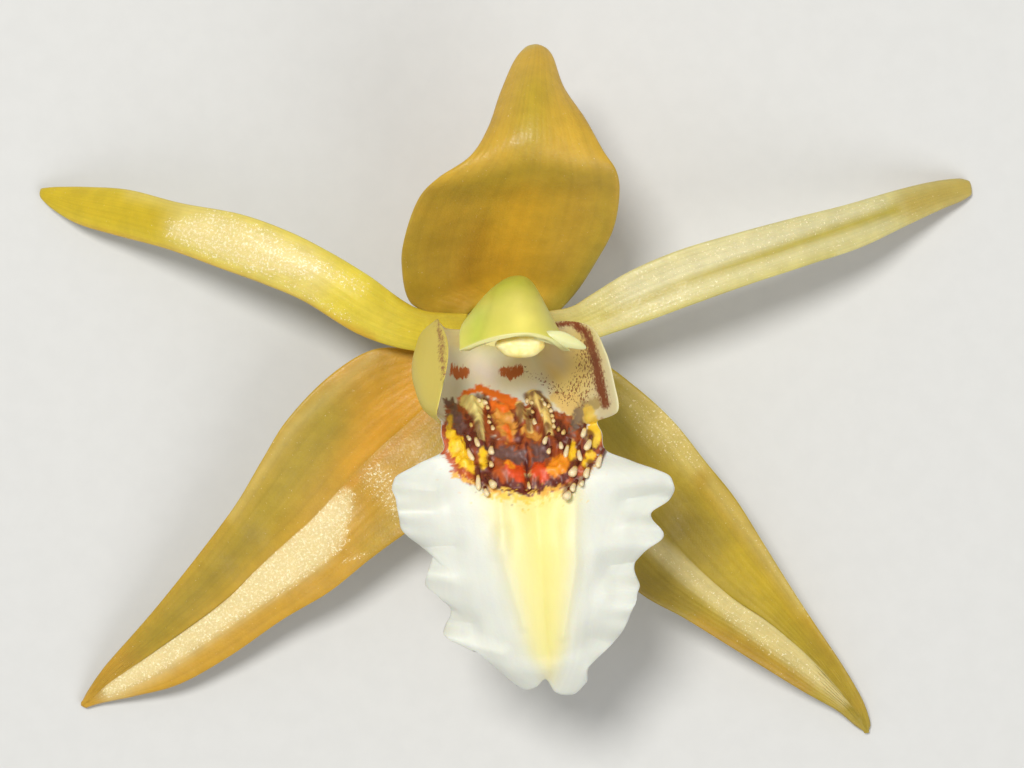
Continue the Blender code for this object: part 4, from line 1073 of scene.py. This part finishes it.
def lip_marks(drawn, across, along, crest):
    """Strengths of the marks that the lip's skin breaks up, on its front and on its back."""
    right_lobe = smooth_step(0.45, 0.6, across) * smooth_step(0.36, 0.33, along)
    left_lobe = smooth_step(-0.45, -0.6, across) * smooth_step(0.36, 0.33, along)
    disc = smooth_step(0.95, 0.75, np.abs(across))
    rim = smooth_step(0.985, 0.93, np.abs(across))
    outer_band = 0.85 * field(drawn, OUTER_BAND, 0.8) * smooth_step(-0.5, -0.7, across)
    band = np.maximum(field(drawn, SIDE_BAND_RIGHT, 0.6) * right_lobe,
                      field(drawn, SIDE_BAND_LEFT, 0.35) * left_lobe)
    comb = field(drawn, THROAT_COMBS, 0.45) * disc * (0.3 + 0.7 * smooth_step(2.3, 0.9, drawn[..., 1]))
    plain = np.zeros_like(crest)
    return {
        "comb": (comb, plain),
        "rust": (band, outer_band),
        "specks": (field(drawn, LOBE_SPECKS, 1.0) * rim, plain),
        "wet": (crest, plain),
    }


def build_lip():
    """The lip, with its ruffles, folds, keels and painted marks, and the warts on it."""
    rows, columns = LIP_GRID
    drawn = lip_drawn(rows, columns)
    drawn[..., 2] += lip_ruffle(drawn)
    raised = np.zeros((rows, columns))
    across = np.linspace(-1, 1, columns)[None, :]
    along = np.linspace(0, 1, rows)[:, None]
    inner = smooth_step(0.8, 0.6, np.abs(across))
    for height, soft, path in CREST_RELIEF:
        raised += height * stroke(drawn, path, soft) * inner
    margin = np.sign(across) * np.abs(across) ** 8 * smooth_step(-8.0, -9.5, drawn[..., 1])
    drawn[..., 0] += SCALLOP * margin * (lattice_noise(drawn[..., 1:2].repeat(2, axis=-1), 1.5, 12) - 0.5)
    folds = sum(height * stroke(drawn, path, FOLD_SOFTNESS * soft) for height, soft, path in LIP_FOLDS)
    drawn[..., 2] += folds
    crest = field(drawn, CREST_AREA, 0.5) * inner
    raised += crest * LUMP_HEIGHT * (lattice_noise(drawn[..., :2], 0.5, 5) - 0.5)
    raised += SWELL_HEIGHT * (lattice_noise(drawn[..., :2], 1.8, 6) - 0.5)
    piece = add_sheet("lip", drawn, LIP_THICK, ["lip"], raised)
    paint_sheet(piece, *lip_paint(drawn, across, along))
    for name, (front, back) in lip_marks(drawn, across, along, crest).items():
        set_values(piece, name, np.concatenate([front.ravel(), back.ravel()]))
    piece.data.materials.append(lip_material())
    add_clubs(drawn, raised)


def crest_paint(drawn, paint, share):
    """The crest's mosaic over the lip's paint, each mark with its own ragged edge."""
    for number, (colour, soft, rag, paths) in enumerate(CREST_LOOK):
        ragged = 0.6 * lattice_noise(drawn[..., :2], 0.34, 60 + number)
        ragged += 0.4 * lattice_noise(drawn[..., :2], 0.15, 90 + number)
        reach = field(drawn, paths, soft) + rag * (ragged - 0.5)
        near = field(drawn, paths, soft + rag) > 0.02
        paint = covered(paint, colour, smooth_step(0.34, 0.66, reach) * near * share)
    for foot, tip, half, _ in CLUBS:
        ring = stroke(drawn, [(*foot, 1.5 * half), (*tip, 1.1 * half)], 0.16)
        paint = covered(paint, WART_FOOT, 0.8 * share * ring)
    dapple = 0.5 * lattice_noise(drawn[..., :2], 0.28, 130) + 0.5 * lattice_noise(drawn[..., :2], 0.13, 131)
    shade = share * field(drawn, CREST_AREA, 0.5)
    return paint * (1 + 0.5 * (shade * (dapple - 0.5))[..., None])


def lip_material():
    """Matt pale flesh with ragged painted marks, and small brown specks on the side lobes."""
    tree = Tree("lip_skin")
    places = tree.places()
    colour = tree.attribute("paint", "Color")
    tatter = tree.noise(places, 2.6, 6.0, 0.78)
    streaks = tree.noise(tree.places((4.5, 0.7, 0.7)), 1.1, 4.0, 0.65)
    for name, tint, noise, rag, low, high in (
        ("comb", COMB_BROWN, streaks, 2.0, 0.42, 0.80),
        ("rust", LOBE_RUST, tatter, 1.9, 0.30, 0.85),
    ):
        strength = tree.attribute(name)
        value = tree.ragged(strength, noise, rag)
        visible = tree.math("MULTIPLY", tree.ramp(value, low, high), tree.ramp(strength, 0.02, 0.2))
        colour = tree.mix(visible, colour, tint)
    specks = tree.attribute("specks")
    dots = tree.noise(tree.places((1.0, 0.75, 0.75)), 4.6, 2.0, 0.6)
    speck = tree.ramp(tree.math("ADD", dots, tree.math("MULTIPLY", specks, 0.16)), 0.66, 0.72)
    speck = tree.math("MULTIPLY", speck, tree.ramp(specks, 0.05, 0.4))
    colour = tree.mix(tree.math("MULTIPLY", speck, 0.85), colour, SPECK_BROWN)
    veil = tree.noise(tree.growth((10.0, 4.0, 1.0)), 1.0, 4.0, 0.6, 0.2)
    colour = tree.mix(1.0, colour, tree.ramp(veil, 0.3, 0.7, 0.975, 1.015), "MULTIPLY")
    roughness = tree.ramp(tree.attribute("wet"), 0.1, 0.9, 0.52, 0.50)
    bump = tree.bump(tree.cells(places, 4.0), 0.12, 0.00004)
    bump = tree.bump(tree.noise(places, 1.4, 3.0, 0.6), 0.2, 0.0001, bump)
    return tree.finish(colour, roughness, bump, flesh=0.25, flesh_depth=0.0015, coat=0.1)


def add_clubs(drawn, raised):
    """The crest's warts as small clubs that lean towards the lip's tip, in one piece."""
    columns = drawn.shape[1]
    middle = slice(columns // 8, columns - columns // 8)
    flat = drawn[:, middle].reshape(-1, 3)
    heights = flat[:, 2] + raised[:, middle].ravel() + LIP_THICK / 2
    rings, around = 13, 12
    vertices, faces, cream = [], [], []
    chance = random.Random(8)
    for foot, tip, half, share in CLUBS:
        nearest = np.argmin(((flat[:, :2] - np.array(foot)) ** 2).sum(axis=1))
        base = heights[nearest] + 0.05
        start = np.array((*foot, base))
        reach = CLUB_HEIGHT * (0.5 + 0.5 * half / USUAL_HALF) * chance.uniform(0.8, 1.15)
        end = np.array((*tip, base + reach))
        end[:2] += (CLUB_STRETCH - 1) * (end[:2] - start[:2])
        axis = end - start
        length = np.linalg.norm(axis)
        axis /= length
        over = np.cross(axis, (0.0, 1.0, 0.0))
        over /= np.linalg.norm(over)
        side = np.cross(axis, over)
        bend = np.array((chance.uniform(-0.12, 0.12), chance.uniform(-0.1, 0.05), 0.0))
        faces += tube_faces(rings, around, len(vertices))
        for ring in range(rings):
            at = ring / (rings - 1)
            neck = CLUB_NECK + (1 - CLUB_NECK) * float(smooth_step(0.25, 0.75, at))
            cap = math.sqrt(max(0.0, 1 - max(0.0, (at - CLUB_CAP_START) / (1 - CLUB_CAP_START)) ** 2))
            radius = max(CLUB_SWELL * half * neck * cap, 0.01)
            centre = start + axis * length * at + bend * math.sin(math.pi * at)
            for corner in range(around):
                turn = 2 * math.pi * corner / around
                vertices.append(centre + radius * (over * math.cos(turn) + side * math.sin(turn)))
                cream.append(share * float(smooth_step(0.2, 0.6, at)))
    piece = add_mesh("lip_warts", place(np.array(vertices)), faces, [])
    set_values(piece, "cream", cream)
    piece.data.materials.append(wart_material())


def wart_material():
    """Brown at the foot of each wart and cream at its tip."""
    tree = Tree("wart_skin")
    grain = tree.noise(tree.places(), 2.6, 3.0, 0.6)
    value = tree.ragged(tree.attribute("cream"), grain, 0.5)
    colour = tree.mix(tree.ramp(value, 0.15, 0.45), WART_FOOT, WART_TAN)
    colour = tree.mix(tree.ramp(value, 0.4, 0.8), colour, WART_CREAM)
    return tree.finish_grained(colour, grain, (0.42, 0.3), (0.3, 0.00008),
                               flesh=0.3, flesh_depth=0.0008, coat=0.2)


def column_loops(rings, arc):
    """Rings of points up the column: over its back first, then through the hollow of its front."""
    path = curve_through([[*centre, *sizes] for centre, *sizes in COLUMN], rings)
    centres = place(path[:, :3])
    tangents = np.gradient(centres, axis=0)
    turns = np.linspace(-math.pi / 2, math.pi / 2, arc)
    over = np.array([1.0, 0.0, 0.0])
    loops = []
    for row, centre, tangent in zip(path, centres, tangents):
        half, back, front, flare = row[3:]
        up = np.cross(tangent, over)
        up *= math.copysign(1.0, up[1]) / np.linalg.norm(up)
        rim = 1.0 - HOOD_THINNING * max(0.0, -front) / half
        bell = np.cos(turns) ** flare
        spread = half * np.sin(turns)
        spread = spread * np.where(spread > 0, RIGHT_WING, LEFT_WING) + HOOD_SHIFT
        outer = np.outer(spread, over) + np.outer(back * bell, up)
        inner = np.outer(spread[-2:0:-1] * rim, over) - np.outer(front * bell[-2:0:-1], up)
        loops.append(centre + MM * np.concatenate([outer, inner]))
    return np.array(loops)


def build_column():
    """The column: a round stalk that bends forward and widens into a winged hood, hollow in front."""
    rings, arc = 110, 49
    around = 2 * arc - 2
    loops = column_loops(rings, arc)
    vertices = loops.reshape(-1, 3)
    # The rings run the other way round than a plain tube's, so each face is turned over.
    faces = [[a, d, c, b] for a, b, c, d in ring_faces(rings, around)]
    faces.append(list(range(around)))
    faces.append([len(vertices) - 1 - corner for corner in range(around)])
    piece = add_mesh("column", vertices, faces, ["column"])
    set_values(piece, "hood", np.repeat(np.arange(rings) / (rings - 1), around))
    paint = painted(seen(loops), HOOD_YELLOW, HOOD_STROKES)
    paint[:, arc:] = linear(HOOD_INSIDE)
    set_colours(piece, "paint", paint)
    piece.data.materials.append(column_material("column_skin"))
    build_wing_flap()


def build_wing_flap():
    """The small pale flap at the right end of the hood's margin."""
    drawn = blade_grid(WING_FLAP, *FLAP_GRID, FLAP_CREASE)
    piece = add_sheet("column_wing_flap", drawn, FLAP_THICK, [])
    pale = np.broadcast_to(linear(FLAP_PALE), drawn.shape)
    paint_sheet(piece, pale, pale)
    piece.data.materials.append(column_material("flap_skin"))


def column_material(name):
    """Smooth waxy yellow-green flesh, paler along the hood's thin margin."""
    tree = Tree(name)
    places = tree.places()
    mottle = tree.ramp(tree.noise(places, 0.5, 3.0, 0.5), 0.3, 0.7, 0.96, 1.03)
    colour = tree.mix(1.0, tree.attribute("paint", "Color"), mottle, "MULTIPLY")
    colour = tree.mix(tree.ramp(tree.attribute("hood"), 0.985, 1.0), colour, HOOD_MARGIN)
    grain = tree.noise(places, 3.0, 3.0, 0.6)
    return tree.finish_grained(colour, grain, (0.46, 0.38), (0.12, 0.00005),
                               flesh=0.3, flesh_depth=0.0018, coat=0.1)


def ball(name, middle, size, bumps, nodes):
    """A closed rounded body. Bumps are (direction, height, width) swellings on it."""
    rows, around = 48, 96
    lift = np.linspace(-math.pi / 2, math.pi / 2, rows + 1)[1:-1]
    turn = np.linspace(0, 2 * math.pi, around, endpoint=False)
    lift, turn = np.meshgrid(lift, turn, indexing="ij")
    way = np.stack([np.cos(lift) * np.cos(turn), np.cos(lift) * np.sin(turn), np.sin(lift)], axis=-1)
    way = np.concatenate([way.reshape(-1, 3), [[0, 0, -1], [0, 0, 1]]])
    swell = np.ones(len(way))
    for direction, height, width in bumps:
        aim = np.array(direction, float)
        aim /= np.linalg.norm(aim)
        swell += height * np.exp(-((1 - way @ aim) / width) ** 2)
    vertices = place([middle])[0] + way * swell[:, None] * np.array(size) * MM
    faces = ring_faces(rows - 1, around)
    bottom, top = len(way) - 2, len(way) - 1
    last = (rows - 2) * around
    for corner in range(around):
        after = (corner + 1) % around
        faces.append([after, corner, bottom])
        faces.append([last + corner, last + after, top])
    return add_mesh(name, vertices, faces, nodes)


def build_anther():
    """The cream cap under the front of the hood."""
    piece = ball("anther_cap", ANTHER_MIDDLE, ANTHER_SIZE, ANTHER_BUMPS, ["anther_cap"])
    tree = Tree("anther_skin")
    places = tree.places()
    mottle = tree.ramp(tree.noise(places, 0.9, 3.0, 0.5), 0.3, 0.7)
    colour = tree.mix(mottle, ANTHER_YELLOW, ANTHER_CREAM)
    grain = tree.noise(places, 4.0, 3.0, 0.6)
    piece.data.materials.append(tree.finish_grained(
        colour, grain, (0.42, 0.34), (0.15, 0.00004), flesh=0.3, flesh_depth=0.001, coat=0.15
    ))


def build_stalk():
    """The ribbed ovary that narrows into the cut stalk."""
    rings, around = 220, 72
    path = curve_through([[*centre, radius] for centre, radius in STALK], rings)
    centres = place(path[:, :3])
    tangents = np.gradient(centres, axis=0)
    over = np.array([1.0, 0.0, 0.0])
    turns = np.linspace(0, 2 * math.pi, around, endpoint=False)
    loops = []
    for at, (row, centre, tangent) in enumerate(zip(path, centres, tangents)):
        side = np.cross(tangent, over)
        side /= np.linalg.norm(side)
        share = at / (rings - 1)
        ribs = 1 - 0.05 * (1 - share) * (0.5 + 0.5 * np.cos(6 * turns)) - 0.01 * np.cos(18 * turns)
        ring = np.outer(np.cos(turns) * ribs, over) + np.outer(np.sin(turns) * ribs, side)
        loops.append(centre + row[3] * MM * ring)
    piece = add_mesh("ovary_and_pedicel", np.concatenate(loops), tube_faces(rings, around),
                     ["ovary_and_pedicel"])
    for cap in piece.data.polygons[-2:]:
        cap.use_smooth = False
    share = np.linspace(0, 1, rings)
    set_values(piece, "hub", np.repeat(smooth_step(0.10, 0.05, share), around))
    set_values(piece, "cut", np.repeat(smooth_step(0.997, 1.0, share), around))
    piece.data.materials.append(stalk_material())


def stalk_material():
    """Mottled green, yellow where the ovary meets the throat and pale where the stalk was cut."""
    tree = Tree("stalk_skin")
    places = tree.places()
    mottle = tree.ramp(tree.noise(places, 0.5, 4.0, 0.6), 0.3, 0.7)
    colour = tree.mix(mottle, STALK_GREEN, STALK_PALE_GREEN)
    colour = tree.mix(tree.attribute("hub"), colour, THROAT_YELLOW)
    colour = tree.mix(tree.attribute("cut"), colour, CUT_FLESH)
    grain = tree.noise(places, 3.0, 3.0, 0.6)
    return tree.finish_grained(colour, grain, (0.55, 0.45), (0.2, 0.00008),
                               flesh=0.15, flesh_depth=0.001, coat=0.05)


def build_pollen():
    """Yellow wax for the pollen masses."""
    tree = Tree("pollen_skin")
    grain = tree.noise(tree.places(), 4.0, 3.0, 0.6)
    colour = tree.mix(grain, POLLEN_ORANGE, POLLEN_YELLOW)
    material = tree.finish_grained(colour, grain, (0.45, 0.3), (0.2, 0.00004))
    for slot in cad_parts["pollinarium"].material_slots:
        slot.material = material


def add_light(name, position, size, power, colour):
    """A round light that shines on the middle of the table."""
    data = bpy.data.lights.new(name, "AREA")
    data.shape = "DISK"
    data.size = size
    data.energy = power
    data.color = colour
    light = bpy.data.objects.new(name, data)
    light.location = position
    light.rotation_euler = (-Vector(position)).to_track_quat("-Z", "Y").to_euler()
    bpy.context.scene.collection.objects.link(light)


def build_studio():
    """The pale table, the soft light around it and the two lights above it."""
    mesh = bpy.data.meshes.new("floor")
    corners = [(-1, -1), (1, -1), (1, 1), (-1, 1)]
    mesh.from_pydata([(FLOOR_REACH * x, FLOOR_REACH * y, 0) for x, y in corners], [], [(0, 1, 2, 3)])
    floor = bpy.data.objects.new("floor", mesh)
    bpy.context.scene.collection.objects.link(floor)
    tree = Tree("floor_paper")
    grain = tree.noise(tree.places(), 0.4, 4.0, 0.6)
    colour = tree.mix(tree.ramp(grain, 0.3, 0.7), FLOOR_GREY, FLOOR_PALE_GREY)
    tree.link(colour, tree.shader.inputs["Base Color"])
    tree.shader.inputs["Roughness"].default_value = 0.8
    mesh.materials.append(tree.material)
    world = bpy.data.worlds.new("studio")
    world.use_nodes = True
    world.node_tree.nodes["Background"].inputs[0].default_value = (1.0, 1.0, 1.0, 1.0)
    world.node_tree.nodes["Background"].inputs[1].default_value = WORLD_LIGHT
    scene = bpy.context.scene
    scene.world = world
    scene.view_settings.view_transform = "Standard"
    add_light("key", *KEY_LIGHT)
    add_light("fill", *FILL_LIGHT)


def build_camera():
    """The eye of the drawing, straight above the flower."""
    data = bpy.data.cameras.new("photo_view")
    data.sensor_width = SENSOR_WIDTH
    data.lens = SENSOR_WIDTH * EYE_HEIGHT / VIEW_WIDTH
    data.clip_start = 0.01
    camera = bpy.data.objects.new("photo_view", data)
    camera.location = (-BOX_MIDDLE[0] * MM, -BOX_MIDDLE[1] * MM, (EYE_HEIGHT - LOWEST) * MM)
    bpy.context.scene.collection.objects.link(camera)
    bpy.context.scene.camera = camera


build_camera()
build_studio()
build_tepals()
build_lip()
build_column()
build_anther()
build_stalk()
build_pollen()
